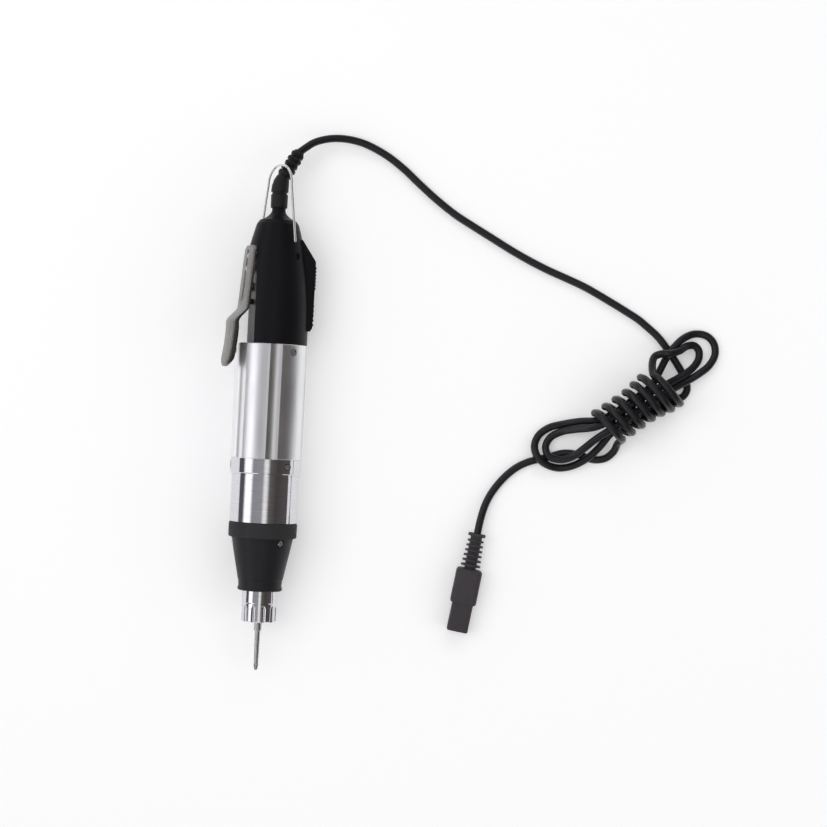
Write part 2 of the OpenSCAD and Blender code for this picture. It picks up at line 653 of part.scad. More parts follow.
// The room inside, with a flat wall kept under the lever's flat
module rear_inside() intersection() {
    rotate_extrude() polygon(concat([[0, rear_s - 20], [joint_d / 2 - rear_wall, rear_s - 20]],
        [[joint_d / 2 - rear_wall, rear_s + 1]],
        [for (at = rear_steps) if (at < shoulder_at - 4) [rear_r(at) - rear_wall - 0.3, rear_s + at]],
        [[6.2, rear_s + shoulder_at - 2], [0, rear_s + shoulder_at - 2]]));
    slab(rear_s - 20, neck_s, -flat_x + rear_wall, hump_r, 60);
}

module hump_block() intersection() {
    rotate([90, 0, 0]) translate([0, 0, -hump_w / 2]) linear_extrude(hump_w) polygon([
        [rear_d / 2 - 4, hump_low_s], [hump_r - 1.6, hump_low_s], [hump_r - 0.5, hump_low_s + 1.6],
        [hump_r - 0.3, hump_low_s + 6], [hump_r, hump_low_s + 9], [hump_r, hump_top_s],
        [rear_r(54.6) - 0.6, hump_end_s], [10, hump_end_s], [10, hump_low_s + 9]]);
    union() {
        slab(rear_s, neck_s, 0, hump_r - 1, hump_w);
        slab(rear_s, neck_s, 0, hump_r + 1, hump_w - 2);
        for (side = [-1, 1]) translate([hump_r - 1, side * (hump_w / 2 - 1), rear_s]) cylinder(h = rear_l, r = 1);
    }
}

module grip_ribs() for (i = [0:4]) translate([hump_r - 0.45, 0, hump_low_s + 3.5 + i * 2.4])
    rotate([90, 0, 0]) translate([0, 0, -hump_w / 2 + 1.5]) cylinder(h = hump_w - 3, d = 1.5, $fn = 24);

module rear_housing() color([0.12, 0.12, 0.14]) on_axis() difference() {
    union() {
        difference() {
            rear_outside();
            slab(rear_s - 1, rear_s + flat_l, -30, -flat_x, 60);
        }
        ring(rear_s - rear_joint_l + 0.2, rear_s, joint_d, joint_d - 2 * rear_wall);
        hump_block();
        grip_ribs();
    }
    difference() {
        rear_inside();
        for (side = [-1, 1]) {
            translate([0, side * (lug_w / 2 + 2.2), 0]) slab(pin_s - 3, pin_s + 4, -flat_x, -pin_x + 2.4, 3.4);
            translate([0, side * 13.6, 0]) slab(rear_s + 1, rear_s + 38, board_x - 1.3, board_x - fit, 4.6);
        }
    }
    slab(pin_s - 11.5, pin_s + 3, -flat_x - 1, -flat_x + rear_wall + 1, lug_w + 0.6);
    translate([-pin_x, lug_w / 2 + 4, pin_s]) rotate([90, 0, 0]) cylinder(h = lug_w + 8, d = pin_d);
    translate([-flat_x - 1, 0, plunger_s]) rotate([0, 90, 0]) cylinder(h = rear_wall + 2, d = plunger_d + 2 * run);
    translate([-flat_x - 1, 0, lever_spring_s]) rotate([0, 90, 0]) cylinder(h = 2, d = 5.6);
    slab(knob_s - knob_slot_l / 2, knob_s + knob_slot_l / 2, hump_r - 1.4, hump_r + 1, knob_w + 0.4);
    slab(knob_s - 11.5, knob_s + 11.5, 8, hump_r - 1.3, hump_w - 3);
    bar(rear_s + shoulder_at - 5, neck_s + 1, 5.2);
    around(bail_angle) translate([0, 0, bail_s]) rotate([0, 90, 0]) translate([0, 0, -30])
        cylinder(h = 60, d = wire_d + 2 * run);
    around(52) screw_hole(rear_s + 45.8, rear_r(45.8), rear_r(45.8) - 1.2);
    three_times() screw_hole(rear_s - 3.8, motor_d / 2, joint_d / 2 - rear_wall - 1);
}

module circuit_board() color("darkgreen") on_axis() {
    slab(rear_s + 1, rear_s + 40, board_x, board_x + 1.6, 25);
    slab(rear_s + 6, rear_s + 15, 4.6, 11.6, 9);
    slab(rear_s + 18, rear_s + 22, 4.6, 8, 12);
    for (side = [-1, 1]) translate([4.6, side * 7.5, rear_s + 10]) rotate([0, 90, 0]) cylinder(h = 6, d = 4.6);
}

module start_switch() color([0.15, 0.15, 0.17]) on_axis() {
    slab(plunger_s - 11, plunger_s + 5, -flat_x + rear_wall + 2.3, -1.2, 6.4);
    for (i = [0:2]) slab(plunger_s - 9 + i * 6, plunger_s - 7.8 + i * 6, -1.2, 2.8, 0.6);
}

function strap_r(s) = lever_top_r + (lever_top_s - s) * tan(lever_tilt);
module switch_plunger() color("darkred") on_axis() translate([-strap_r(plunger_s) + lever_t + 0.12, 0, plunger_s])
    rotate([0, 90, 0]) {
        cylinder(h = 0.6, d1 = plunger_d - 1, d2 = plunger_d);
        translate([0, 0, 0.6]) cylinder(h = strap_r(plunger_s) - lever_t - flat_x + rear_wall - 0.6, d = plunger_d);
    }

// ---------- start lever ----------

function lever_r(s) = s > bend_s ? strap_r(s)
    : s > paddle_s ? mix(strap_r(bend_s), paddle_r, smooth((bend_s - s) / (bend_s - paddle_s)))
    : paddle_r + paddle_flare * pow((paddle_s - s) / (paddle_s - lever_tip_s), 1.8);
lever_steps = concat([lever_top_s, bend_s], [for (i = [1:6]) mix(bend_s, paddle_s, i / 6)],
    [for (i = [1:6]) mix(paddle_s, lever_tip_s, i / 6)]);

// Side profile of the sheet between two depths below its outer face
module lever_sheet(top, depth, steps, width) rotate([90, 0, 0]) translate([0, 0, -width / 2])
    linear_extrude(width) polygon(concat([for (s = steps) [-lever_r(s) + top, s]],
        [for (i = [len(steps) - 1:-1:0]) [-lever_r(steps[i]) + depth, steps[i]]]));

module lever_plan() translate([0, 0, 0]) rotate([90, 0, 90]) translate([0, 0, -40]) linear_extrude(40)
    polygon(concat([[-lever_w / 2 + 2, lever_top_s], [-lever_w / 2, lever_top_s - 2]],
        [for (a = [180:15:360]) [lever_w / 2 * cos(a), lever_tip_s + 4.2 + 4.2 * sin(a)]],
        [[lever_w / 2, lever_top_s - 2], [lever_w / 2 - 2, lever_top_s]]));

module start_lever() color("silver") on_axis() difference() {
    intersection() {
        union() {
            lever_sheet(0, lever_t, lever_steps, lever_w);
            for (side = [-1, 1]) translate([0, side * (lever_w - edge_t) / 2, 0])
                lever_sheet(lever_t - 0.1, lever_t + edge_depth,
                    [for (s = lever_steps) if (s < bend_s - 1 && s > lever_tip_s + 1) s], edge_t);
        }
        lever_plan();
    }
    translate([-lever_top_r, 0, lever_top_s]) rotate([0, lever_tilt, 0]) {
        for (s = [-15, -26]) translate([-1, 0, s]) rotate([0, 90, 0]) cylinder(h = 1.5, d = 3);
        slab(-26, -15, -1, 0.5, 3);
    }
    for (s = rivets_s) translate([-30, 0, s]) rotate([0, 90, 0]) cylinder(h = 30, d = 1.7);
}

module lever_lug() color("gray") on_axis() {
    difference() {
        intersection() {
            rotate([90, 0, 0]) translate([0, 0, -lug_w / 2]) linear_extrude(lug_w) polygon([
                [-strap_r(pin_s + 2.2) + lever_t, pin_s + 2.2], [-pin_x + 2, pin_s + 2.2], [-pin_x + 2, pin_s - 3],
                [-flat_x + 0.6, pin_s - lug_l + 3], [-strap_r(pin_s - lug_l + 3) + lever_t, pin_s - lug_l + 3]]);
            slab(pin_s - lug_l, pin_s + 3, -30, 0, lug_w);
        }
        translate([-pin_x, lug_w, pin_s]) rotate([90, 0, 0]) cylinder(h = 2 * lug_w, d = pin_d + 2 * run);
    }
    for (s = rivets_s) translate([-strap_r(s), 0, s]) rotate([0, 90, 0]) {
        translate([0, 0, -0.5]) cylinder(h = 0.5, d1 = 2, d2 = 2.8);
        cylinder(h = lever_t + 0.2, d = 1.7);
    }
}

module lever_pin() color("silver") on_axis() translate([-pin_x, lug_w / 2 + 3.8, pin_s]) rotate([90, 0, 0])
    cylinder(h = lug_w + 7.6, d = pin_d);

module lever_spring() color("slategray") on_axis() {
    from_x = -flat_x + 1;
    to_x = -strap_r(lever_spring_s) + lever_t + 0.2;
    points = [for (i = [0:36]) let (a = i * 40, h = min(max(i / 36 * 1.4 - 0.2, 0), 1))
        [mix(from_x - 0.45, to_x + 0.35, h), 2.1 * cos(a), lever_spring_s + 2.1 * sin(a)]];
    sweep(points, [for (p = points) 0.3], 6);
}

// ---------- reversing switch ----------

module reversing_switch() color([0.2, 0.2, 0.22]) on_axis() difference() {
    slab(knob_s - 11.3, knob_s + 11.3, 9, hump_r - 3.4, hump_w - 3.4);
    slab(knob_s - 5.5, knob_s + 5.5, hump_r - 5.4, hump_r, 3.4);
}

module reversing_knob() color([0.1, 0.1, 0.1]) on_axis() {
    slab(knob_s - knob_l / 2, knob_s + knob_l / 2, hump_r - 3.2, hump_r, knob_w);
    slab(knob_s - 2, knob_s + 2, hump_r - 5.2, hump_r - 3.2, 3);
    for (i = [-3:3]) translate([hump_r - 0.2, knob_w / 2, knob_s + i * knob_l / 7.4]) rotate([90, 0, 0])
        cylinder(h = knob_w, r = knob_proud + 0.2, $fn = 24);
}

// ---------- bail ----------

module bail() color("silver") on_axis() around(bail_angle) translate([0, 0, bail_s]) {
    lean = atan((bail_pivot_r + 0.9 - bail_top_r) / (bail_h - bail_top_r));
    foot = bail_pivot_r + 0.9;
    side = norm([foot - bail_top_r, bail_h - bail_top_r]);
    for (turn = [0, 180]) rotate([0, 0, turn]) {
        translate([foot, 0, 0]) {
            sphere(d = wire_d);
            rotate([0, -lean, 0]) cylinder(h = side, d = wire_d);
            translate([-4, 0, 0]) rotate([0, 90, 0]) cylinder(h = 4, d = wire_d);
        }
        translate([bail_top_r, 0, bail_h - bail_top_r]) sphere(d = wire_d);
    }
    translate([0, 0, bail_h - bail_top_r]) rotate([90, 0, 0]) rotate_extrude(angle = 180)
        translate([bail_top_r, 0]) circle(d = wire_d, $fn = 24);
}

// ---------- cord ----------

// A point at a distance along the bent cord plug, and the piece swept along it
function bend_point(l) = let (a = min(max(l - bend_at, 0) / bend_r * 180 / PI, bend_end),
    rest = max(l - bend_at - bend_r * bend_end * PI / 180, 0),
    up = min(l, bend_at) + bend_r * sin(a) + rest * cos(bend_end),
    out = bend_r * (1 - cos(a)) + rest * sin(bend_end))
    [axis_x + out * cos(bend_tilt), tip_y + plug_s + up, axis_z + out * sin(bend_tilt)];

module cord_socket() color([0.15, 0.15, 0.16]) on_axis() {
    ring(rear_s + shoulder_at - 9, rear_s + shoulder_at - 2.05, 12, 3.6);
}

// Distance and radius pairs: collar, notch, body, then the ribs of the boot
boot_from = 17;
boot_ribs = 5;
rib_pitch = 3.1;
plug_steps = concat([[0, 4.3], [7, 4.35], [7.3, 3.8], [7.9, 3.8], [8.2, 4.45], [11, 4.4], [13.6, 4.1],
    [15.8, 3.5], [boot_from, 3.1]],
    [for (i = [0:boot_ribs - 1]) let (at = boot_from + 0.5 + i * rib_pitch, r = mix(4.1, 3.65, i / boot_ribs))
        each [[at, r], [at + 1.6, r], [at + 1.9, 2.9], [at + rib_pitch - 0.3, 2.85]]]);
module cord_plug() color([0.16, 0.15, 0.16]) {
    sweep([for (p = plug_steps) bend_point(p[0])], [for (p = plug_steps) p[1]], 20);
    on_axis() bar(rear_s + shoulder_at - 2, neck_s + 0.1, 5.1);
}

boot_end = bend_point(boot_from + 0.2 + boot_ribs * rib_pitch);
module cord_run() color([0.08, 0.08, 0.09])
    sweep(concat([boot_end], run_route), [for (i = [0:len(run_route)]) cord_d / 2], 8);

module cord_hank() color([0.08, 0.08, 0.09]) translate([hank_middle[0], hank_middle[1], 0])
    rotate([0, 0, hank_angle]) {
        for (side = [-1, 1]) translate([side * (hank_l - hank_w) / 2, 0, 0]) cylinder(h = hank_h, d = hank_w);
        translate([-(hank_l - hank_w) / 2, -hank_w / 2, 0]) cube([hank_l - hank_w, hank_w, hank_h]);
        translate([wound_at[0] - wound_l / 2, wound_at[1], wound_d / 2]) rotate([0, 90, 0])
            cylinder(h = wound_l, d = wound_d);
    }

module cord_tail() color([0.08, 0.08, 0.09])
    sweep(tail_route, [for (p = tail_route) cord_d / 2], 8);

// The end connector lies along its own +X, from the cord to its mouth
module end_frame() translate(end_at) rotate([0, 0, end_angle]) children();
module rounded_bar(from, to, width, thick, corner) hull() for (y = [-1, 1], z = [-1, 1])
    translate([from, y * (width / 2 - corner), z * (thick / 2 - corner)]) rotate([0, 90, 0])
        cylinder(h = to - from, r = corner, $fn = 24);
end_ribs = 6;
end_boot_l = 19;
module end_connector() color([0.3, 0.27, 0.28]) end_frame() {
    rotate([0, 90, 0]) rotate_extrude() polygon(concat([[0, 0], [4.6, 0], [4.6, 1.8], [3.1, 2.2]],
        [for (i = [0:end_ribs - 1]) let (at = 3.4 + i * 2.6, r = mix(4.3, 5.4, i / end_ribs))
            each [[3.1, at], [r, at], [r, at + 1.1], [3.1, at + 1.2]]], [[3.1, end_boot_l], [0, end_boot_l]]));
    rounded_bar(end_boot_l - 0.2, end_boot_l + end_body_l, end_body_w, end_body_t, 2.5);
    difference() {
        rounded_bar(end_boot_l + end_body_l - 0.2, end_boot_l + end_body_l + end_nose_l, end_nose_w, end_body_t - 1.6, 1.6);
        translate([end_boot_l + end_body_l + 4, -end_nose_w / 2 + 1.2, -end_body_t / 2 + 2])
            cube([end_nose_l, end_nose_w - 2.4, end_body_t - 4]);
    }
}

module end_contacts() color("goldenrod") end_frame() for (y = [-2.4, 0, 2.4])
    translate([end_boot_l + end_body_l + 4, y, 0]) rotate([0, 90, 0]) cylinder(h = 2.6, d = 1.3);

bit();
spindle();
bit_ball();
bit_clip();
front_bush();
thread_sleeve();
torque_nut();
nose_collar();
nose_cone();
nose_screws();
pusher_pins();
spring_seat();
clutch_spring();
thrust_race();
thrust_balls();
clutch_plate();
clutch_balls();
output_carrier();
carrier_bush();
rubber_ring();
gear_case();
ring_gear();
planet_2a();
planet_2b();
planet_2c();
middle_carrier();
planet_1a();
planet_1b();
planet_1c();
gear_plate();
coupling_ring();
coupling_screws();
motor_housing();
motor_screws();
motor_can();
magnets();
motor_end_cap();
motor_bushes();
rotor();
windings();
commutator();
brushes();
rear_housing();
circuit_board();
start_switch();
switch_plunger();
lever_pin();
start_lever();
lever_lug();
lever_spring();
reversing_switch();
reversing_knob();
bail();
cord_socket();
cord_plug();
cord_run();
cord_hank();
cord_tail();
end_connector();
end_contacts();
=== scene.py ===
# %% [markdown]
# # An electric torque screwdriver, dressed
#
# The tool lies on a table with its cord beside it. Its solids come from the
# construction model and stay where they are. This lesson gives each of them the
# finish of the real piece, and builds in mesh and curve code what the
# construction model only blocks out: the cord with its hank, the ribbed boot and
# the connector.

# %% Load the construction model
import json
import math
import bmesh
import bpy
from mathutils import Matrix, Vector


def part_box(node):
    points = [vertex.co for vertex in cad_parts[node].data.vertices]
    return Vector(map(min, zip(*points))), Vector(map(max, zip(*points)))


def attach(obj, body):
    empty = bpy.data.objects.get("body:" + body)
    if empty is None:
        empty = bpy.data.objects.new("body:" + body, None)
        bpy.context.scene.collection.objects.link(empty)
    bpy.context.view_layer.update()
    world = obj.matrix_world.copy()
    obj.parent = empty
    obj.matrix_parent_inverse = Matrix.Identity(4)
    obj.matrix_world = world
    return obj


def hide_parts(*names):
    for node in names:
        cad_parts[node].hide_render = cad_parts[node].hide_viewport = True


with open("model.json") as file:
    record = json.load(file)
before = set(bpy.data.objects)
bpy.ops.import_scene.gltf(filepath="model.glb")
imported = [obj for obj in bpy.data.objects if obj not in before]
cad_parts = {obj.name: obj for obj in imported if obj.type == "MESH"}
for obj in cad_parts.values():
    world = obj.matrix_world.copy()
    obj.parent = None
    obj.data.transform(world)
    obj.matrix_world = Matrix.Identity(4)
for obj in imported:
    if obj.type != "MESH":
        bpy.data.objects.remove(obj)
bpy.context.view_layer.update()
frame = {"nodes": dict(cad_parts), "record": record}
MM = 0.001
scene = bpy.context.scene
scene.view_settings.view_transform = "Standard"
case_low, case_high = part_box("gear_case")
AXIS_X = (case_low.x + case_high.x) / 2
AXIS_Z = (case_low.z + case_high.z) / 2
TIP_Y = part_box("bit")[0].y
print("solids:", len(frame["nodes"]), "axis at", round(AXIS_X * 1000, 2), round(AXIS_Z * 1000, 2))

# %% [markdown]
# ## The camera
#
# A long lens straight above the table shows the tool without perspective
# bending its sides. The picture is turned by three degrees, so the tool leans a
# little. The camera comes first, because the cord has to lie inside its view.

# %% Camera
LENS, SENSOR = 85.0, 36.0
VIEW_WIDTH = 428.4 * MM
VIEW_CENTRE = Vector((77.1 * MM, 5.5 * MM, AXIS_Z))
VIEW_TURN = math.radians(2.9)
camera_data = bpy.data.cameras.new("camera")
camera_data.lens, camera_data.sensor_width = LENS, SENSOR
camera = bpy.data.objects.new("camera", camera_data)
camera.location = VIEW_CENTRE + Vector((0, 0, VIEW_WIDTH * LENS / SENSOR))
camera.rotation_euler = (0, 0, VIEW_TURN)
scene.collection.objects.link(camera)
scene.camera = camera
print("camera height", round(camera.location.z, 3))

# %% [markdown]
# ## The cord's route
#
# A cord is one length of something flexible, so it is one curve from the boot
# to the connector. Its points are joined by a Catmull-Rom spline, which passes
# through each of them and keeps the bends round where the points are unevenly
# spaced. The first stretch comes out of the boot, drops to the table and runs
# across it in a long S.

# %% The run across the table
RUN = [[14.6, 141.6, 11.2], [18.2, 144.2, 10], [24, 146.4, 8.5], [30.4, 147.4, 7], [37, 147.2, 5.6],
       [44, 145.8, 4.3], [51, 143, 3.2], [58, 139.2, 2.4], [66, 133.4, 2.1], [74.5, 126, 2.1], [84, 118.2, 2.1],
       [94, 111, 2.1], [104, 105.2, 2.1], [114, 99.6, 2.1], [124, 94, 2.1], [134, 88.9, 2.1], [144, 84.4, 2.1],
       [154, 80.5, 2.1], [164, 76.4, 2.1], [174, 71.3, 2.1], [184, 65.9, 2.1], [193, 60.7, 2.1]]
TAIL = [[138.6, -17, 2.1], [133.4, -19.7, 2.1], [129, -23.2, 2.1], [125.2, -27.2, 2.1], [121.6, -32, 2.2],
        [118.6, -37.2, 2.7], [116.4, -43, 3.7], [114.8, -49.6, 4.9], [113.8, -55.6, 5.5]]
print("points on the table:", len(RUN), "and", len(TAIL))

# %% [markdown]
# ## The hank
#
# The spare cord is folded lengthwise into two long loops, and the last of it is
# wound seven times round their middle. The hank has its own axes, along it,
# across it and up, which makes the points easy to read. The four strands run
# through the winding in two layers, and at the ends they sink to the table.

# %% Loops of the hank
HANK_AT, HANK_TURN = (186.0, 19.1), math.radians(37.5)
WIND_ACROSS = -7.7

def hank_point(along, across, up):
    c, s = math.cos(HANK_TURN), math.sin(HANK_TURN)
    return [HANK_AT[0] + along * c - across * s, HANK_AT[1] + along * s + across * c, up]

INTO = [[32.4, 23.2, 2.1], [34, 16.4, 2.1], [34.5, 9.4, 2.1], [34.4, 2.2, 2.1], [34, -5, 2.1], [33.2, -11.2, 2.1],
        [30.6, -16.2, 2.2], [26, -17.6, 3.2], [21.5, -14.6, 5.6], [17, -11.6, 7.8]]
STRAND_1 = [[8, -11.4, 8.6], [0, -11.4, 8.6], [-8, -11.4, 8.6], [-16, -11.8, 8.2]]
LOW_OUTER = [[-24, -14.2, 6.6], [-33, -15.6, 5.2], [-41.6, -14.6, 3.2], [-48.3, -11.3, 3], [-52.8, -5.5, 4.8],
             [-54, 0.2, 5.6], [-52, 5.4, 3.6], [-47.1, 8.6, 2.2], [-40.2, 8.8, 2.1], [-33, 6.2, 3],
             [-25, 2.4, 5.8], [-17, -2.4, 8.2]]
STRAND_2 = [[-8, -3.9, 8.6], [0, -3.9, 8.6], [8, -3.9, 8.6], [16, -3.2, 8.4]]
HIGH_OUTER = [[24, 0.6, 7.6], [31, 4.2, 6.3], [38, 6.6, 6.1], [45, 7.4, 4.4], [51.4, 5.6, 2.4], [55.6, 1.2, 2.1],
              [56.3, -4, 2.1], [53.6, -9, 2.4], [47.4, -12, 4.2], [40, -12.4, 6], [33, -12, 6.3],
              [25, -11, 9], [17, -10.3, 12.4]]
STRAND_3 = [[8, -10, 13], [0, -10, 13], [-8, -10, 13], [-16, -9.8, 12.6]]
LOW_INNER = [[-24, -9.6, 10.8], [-32, -10.2, 9.2], [-39, -10.4, 7.2], [-45, -8.2, 6.4], [-48.9, -3.4, 6.3],
             [-47.6, 1.6, 4.6], [-42.6, 4.2, 3], [-36, 3.4, 4.4], [-29, 0.2, 8], [-22, -3.6, 11.4],
             [-16, -5.2, 12.6]]
STRAND_4 = [[-8, -5.4, 13], [0, -5.4, 13], [8, -5.4, 13], [15, -5.6, 12.8]]
HIGH_INNER = [[22, -6.8, 11.6], [29, -7.8, 9], [35, -8.2, 7.4], [40.6, -7.8, 4.9], [45.2, -5.9, 3],
              [47.6, -2.5, 2.6], [47.1, 1, 3], [43.6, 3, 4.6], [38.6, 3.4, 8.2], [33.6, 5, 10.6],
              [29.6, 7.6, 10.9], [25.4, 8.4, 11.6]]
print("points in the loops:", sum(map(len, (LOW_OUTER, HIGH_OUTER, LOW_INNER, HIGH_INNER))))

# %% [markdown]
# The winding is a helix that tilts: over the top of the bundle each turn leans
# forward, and underneath it comes back by a little more than one pitch. The
# first turns are looser than the rest, as they are when a cord is wound by hand.

# %% Winding round the middle
TURNS = [(20.5, 11), (15.2, 11.6), (10, 10.6), (4.4, 9.6), (-2, 9.5), (-8.4, 9.5), (-14.8, 9.8), (-21.2, 9.8)]
START_AT, STOP_AT = 30, 195

def winding():
    points = []
    for k in range(len(TURNS) - 1):
        (at, wide), (next_at, next_wide) = TURNS[k], TURNS[k + 1]
        for angle in range(0, 360, 30):
            if (k == 0 and angle < START_AT) or (k == len(TURNS) - 2 and angle > STOP_AT):
                continue
            r = wide + (next_wide - wide) * angle / 360
            lean = -2 + angle / 45 if angle <= 180 else 2 + (next_at - at - 4) * (angle - 180) / 180
            a = math.radians(angle)
            points.append([at + lean, WIND_ACROSS + r * math.cos(a), 2.05 + r + r * math.sin(a)])
    return points

OUT_OF = [[-15.5, -18.2, 6.2], [-19.6, -20.8, 2.9], [-25, -21.2, 2.1], [-30.6, -18.2, 2.1], [-35.6, -11.6, 2.1],
          [-41.5, -6.6, 2.1], [-48.4, -4, 2.1]]
print("turns:", len(TURNS) - 1)

# %% [markdown]
# The points are joined by short straight steps that follow a Catmull-Rom curve.
# Its centripetal form is used, which makes no loops or kinks where a close pair
# of points follows a distant one. Bézier handles would do as well, but each of
# the two hundred points would need its own.

# %% One smooth curve through all of it
def smooth_through(points, steps=10):
    pts = [Vector(p) for p in points]
    pts = [2 * pts[0] - pts[1]] + pts + [2 * pts[-1] - pts[-2]]
    out = []
    for p0, p1, p2, p3 in zip(pts, pts[1:], pts[2:], pts[3:]):
        t1 = (p1 - p0).length ** 0.5
        t2 = t1 + (p2 - p1).length ** 0.5
        t3 = t2 + (p3 - p2).length ** 0.5
        for k in range(steps):
            t = t1 + (t2 - t1) * k / steps
            a1 = p0.lerp(p1, t / t1)
            a2 = p1.lerp(p2, (t - t1) / (t2 - t1))
            a3 = p2.lerp(p3, (t - t2) / (t3 - t2))
            out.append(a1.lerp(a2, t / t2).lerp(a2.lerp(a3, (t - t1) / (t3 - t1)), (t - t1) / (t2 - t1)))
    return out + [pts[-2]]

hank = [hank_point(*p) for p in INTO + STRAND_1 + LOW_OUTER + STRAND_2 + HIGH_OUTER + STRAND_3 + LOW_INNER
        + STRAND_4 + HIGH_INNER + winding() + OUT_OF]
print("points in the hank:", len(hank))

# %% [markdown]
# ## The boot's line
#
# The plug stands straight in the neck of the tool. Its boot bends sideways and
# down towards the table, on an arc, and then runs straight again. The same line
# carries the boot's ribs and the start of the cord.

# %% Line of the plug and boot
PLUG_Y = TIP_Y + 239.5 * MM
BEND_AT, BEND_R, BEND_BY, BEND_TILT = 8.5, 18.0, math.radians(32), math.radians(-32)

def boot_point(l):
    turn = min(max(l - BEND_AT, 0) / BEND_R, BEND_BY)
    rest = max(l - BEND_AT - BEND_R * BEND_BY, 0)
    up = min(l, BEND_AT) + BEND_R * math.sin(turn) + rest * math.cos(BEND_BY)
    out = BEND_R * (1 - math.cos(turn)) + rest * math.sin(BEND_BY)
    return Vector((AXIS_X + out * MM * math.cos(BEND_TILT), PLUG_Y + up * MM, AXIS_Z + out * MM * math.sin(BEND_TILT)))

BOOT_END = 32.7
start = boot_point(BOOT_END) * 1000
route = [p * MM for p in smooth_through([start] + RUN + hank + TAIL)]

# %% [markdown]
# ## The cord
#
# A curve with a round bevel is the lightest way to draw a cord, and its middle
# line stays a curve, whose length can be measured. The bevel is one metre
# and every point scales it down to the cord's radius, so the box round the curve
# fits the cord.

# %% Cord
CORD_D = 4.0 * MM
cord_curve = bpy.data.curves.new("cord", "CURVE")
cord_curve.dimensions = "3D"
cord_curve.bevel_depth = 1.0
cord_curve.bevel_resolution = 5
cord_curve.use_fill_caps = True
spline = cord_curve.splines.new("POLY")
spline.points.add(len(route) - 1)
for point, place in zip(spline.points, route):
    point.co = (*place, 1)
    point.radius = CORD_D / 2
spline.use_smooth = True
cord = bpy.data.objects.new("cord", cord_curve)
scene.collection.objects.link(cord)
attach(cord, "housing")
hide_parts("cord_run", "cord_hank", "cord_tail")
print("points on the cord:", len(route))

# %% [markdown]
# ## The table and the light
#
# A plain pale table carries a soft shadow. It shows white to the camera and in
# the metal, through a little light of its own that only those rays see, so no
# lamp has to be strong. The lamps are broad and soft.

# %% Helpers for shader nodes
def add(tree, kind, at=(0, 0), **sockets):
    made = tree.nodes.new(kind)
    made.location = at
    for name, value in sockets.items():
        made.inputs[name.replace("_", " ")].default_value = value
    return made

def wire(tree, source, target):
    tree.links.new(source, target)

# %% Table
def make_table():
    mesh = bpy.data.meshes.new("table")
    bm = bmesh.new()
    bmesh.ops.create_grid(bm, x_segments=8, y_segments=8, size=4)
    bm.to_mesh(mesh)
    bm.free()
    table = bpy.data.objects.new("table", mesh)
    scene.collection.objects.link(table)
    return table

table = make_table()
table_paint = bpy.data.materials.new("table_paint")
table_paint.use_nodes = True
tree = table_paint.node_tree
tree.nodes.clear()
paint = add(tree, "ShaderNodeBsdfDiffuse", Color=(0.8, 0.8, 0.8, 1))
glow = add(tree, "ShaderNodeEmission", Color=(1, 1, 1, 1))
rays = add(tree, "ShaderNodeLightPath")
seen = add(tree, "ShaderNodeMath")
seen.operation = "MAXIMUM"
weak = add(tree, "ShaderNodeMath")
weak.operation = "MULTIPLY"
weak.inputs[1].default_value = 0.27
both = add(tree, "ShaderNodeAddShader")
out = add(tree, "ShaderNodeOutputMaterial")
wire(tree, rays.outputs["Is Camera Ray"], seen.inputs[0])
wire(tree, rays.outputs["Is Glossy Ray"], seen.inputs[1])
wire(tree, seen.outputs[0], weak.inputs[0])
wire(tree, weak.outputs[0], glow.inputs["Strength"])
wire(tree, paint.outputs[0], both.inputs[0])
wire(tree, glow.outputs[0], both.inputs[1])
wire(tree, both.outputs[0], out.inputs["Surface"])
table.data.materials.append(table_paint)
print("table:", round(table.dimensions.x, 1), "m across")

# %% [markdown]
# The sky is plain and even for everything matt, so that colours come out as they
# are written. Metal sees more: its sky changes across the tool, with a bright
# band on the left, a narrow one overhead and dark walls on the right. A colour
# ramp over the angle draws that.

# %% World
world = bpy.data.worlds.new("studio")
scene.world = world
world.use_nodes = True
tree = world.node_tree
tree.nodes.clear()
place = add(tree, "ShaderNodeTexCoord")
split = add(tree, "ShaderNodeSeparateXYZ")
angle = add(tree, "ShaderNodeMath")
angle.operation = "ARCTAN2"
along = add(tree, "ShaderNodeMapRange", From_Min=-math.pi / 2, From_Max=math.pi / 2)
walls = add(tree, "ShaderNodeValToRGB")
STOPS = [(0.0, (0.1, 0.1, 0.12)), (0.1, (0.1, 0.1, 0.12)), (0.15, (1.5, 1.5, 1.55)), (0.25, (1.5, 1.5, 1.55)),
         (0.3, (0.33, 0.33, 0.36)), (0.48, (0.36, 0.36, 0.37)), (0.52, (1.0, 1.0, 1.0)), (0.56, (1.0, 1.0, 1.0)),
         (0.61, (0.14, 0.13, 0.125)), (0.75, (0.07, 0.062, 0.06)), (1.0, (0.11, 0.1, 0.1))]
ramp = walls.color_ramp
for at, colour in STOPS[1:-1]:
    ramp.elements.new(at).color = (*colour, 1)
ramp.elements[0].color, ramp.elements[-1].color = (*STOPS[0][1], 1), (*STOPS[-1][1], 1)
air = add(tree, "ShaderNodeBackground", Color=(0.97, 0.975, 1, 1), Strength=0.5)
seen_in_metal = add(tree, "ShaderNodeBackground", Strength=1.0)
white = add(tree, "ShaderNodeBackground", Color=(1, 1, 1, 1), Strength=1.0)
rays = add(tree, "ShaderNodeLightPath")
metal_or_air = add(tree, "ShaderNodeMixShader")
pick = add(tree, "ShaderNodeMixShader")
out = add(tree, "ShaderNodeOutputWorld")
wire(tree, place.outputs["Generated"], split.inputs[0])
wire(tree, split.outputs["X"], angle.inputs[0])
wire(tree, split.outputs["Z"], angle.inputs[1])
wire(tree, angle.outputs[0], along.inputs["Value"])
wire(tree, along.outputs[0], walls.inputs["Fac"])
wire(tree, walls.outputs["Color"], seen_in_metal.inputs["Color"])
wire(tree, rays.outputs["Is Glossy Ray"], metal_or_air.inputs["Fac"])
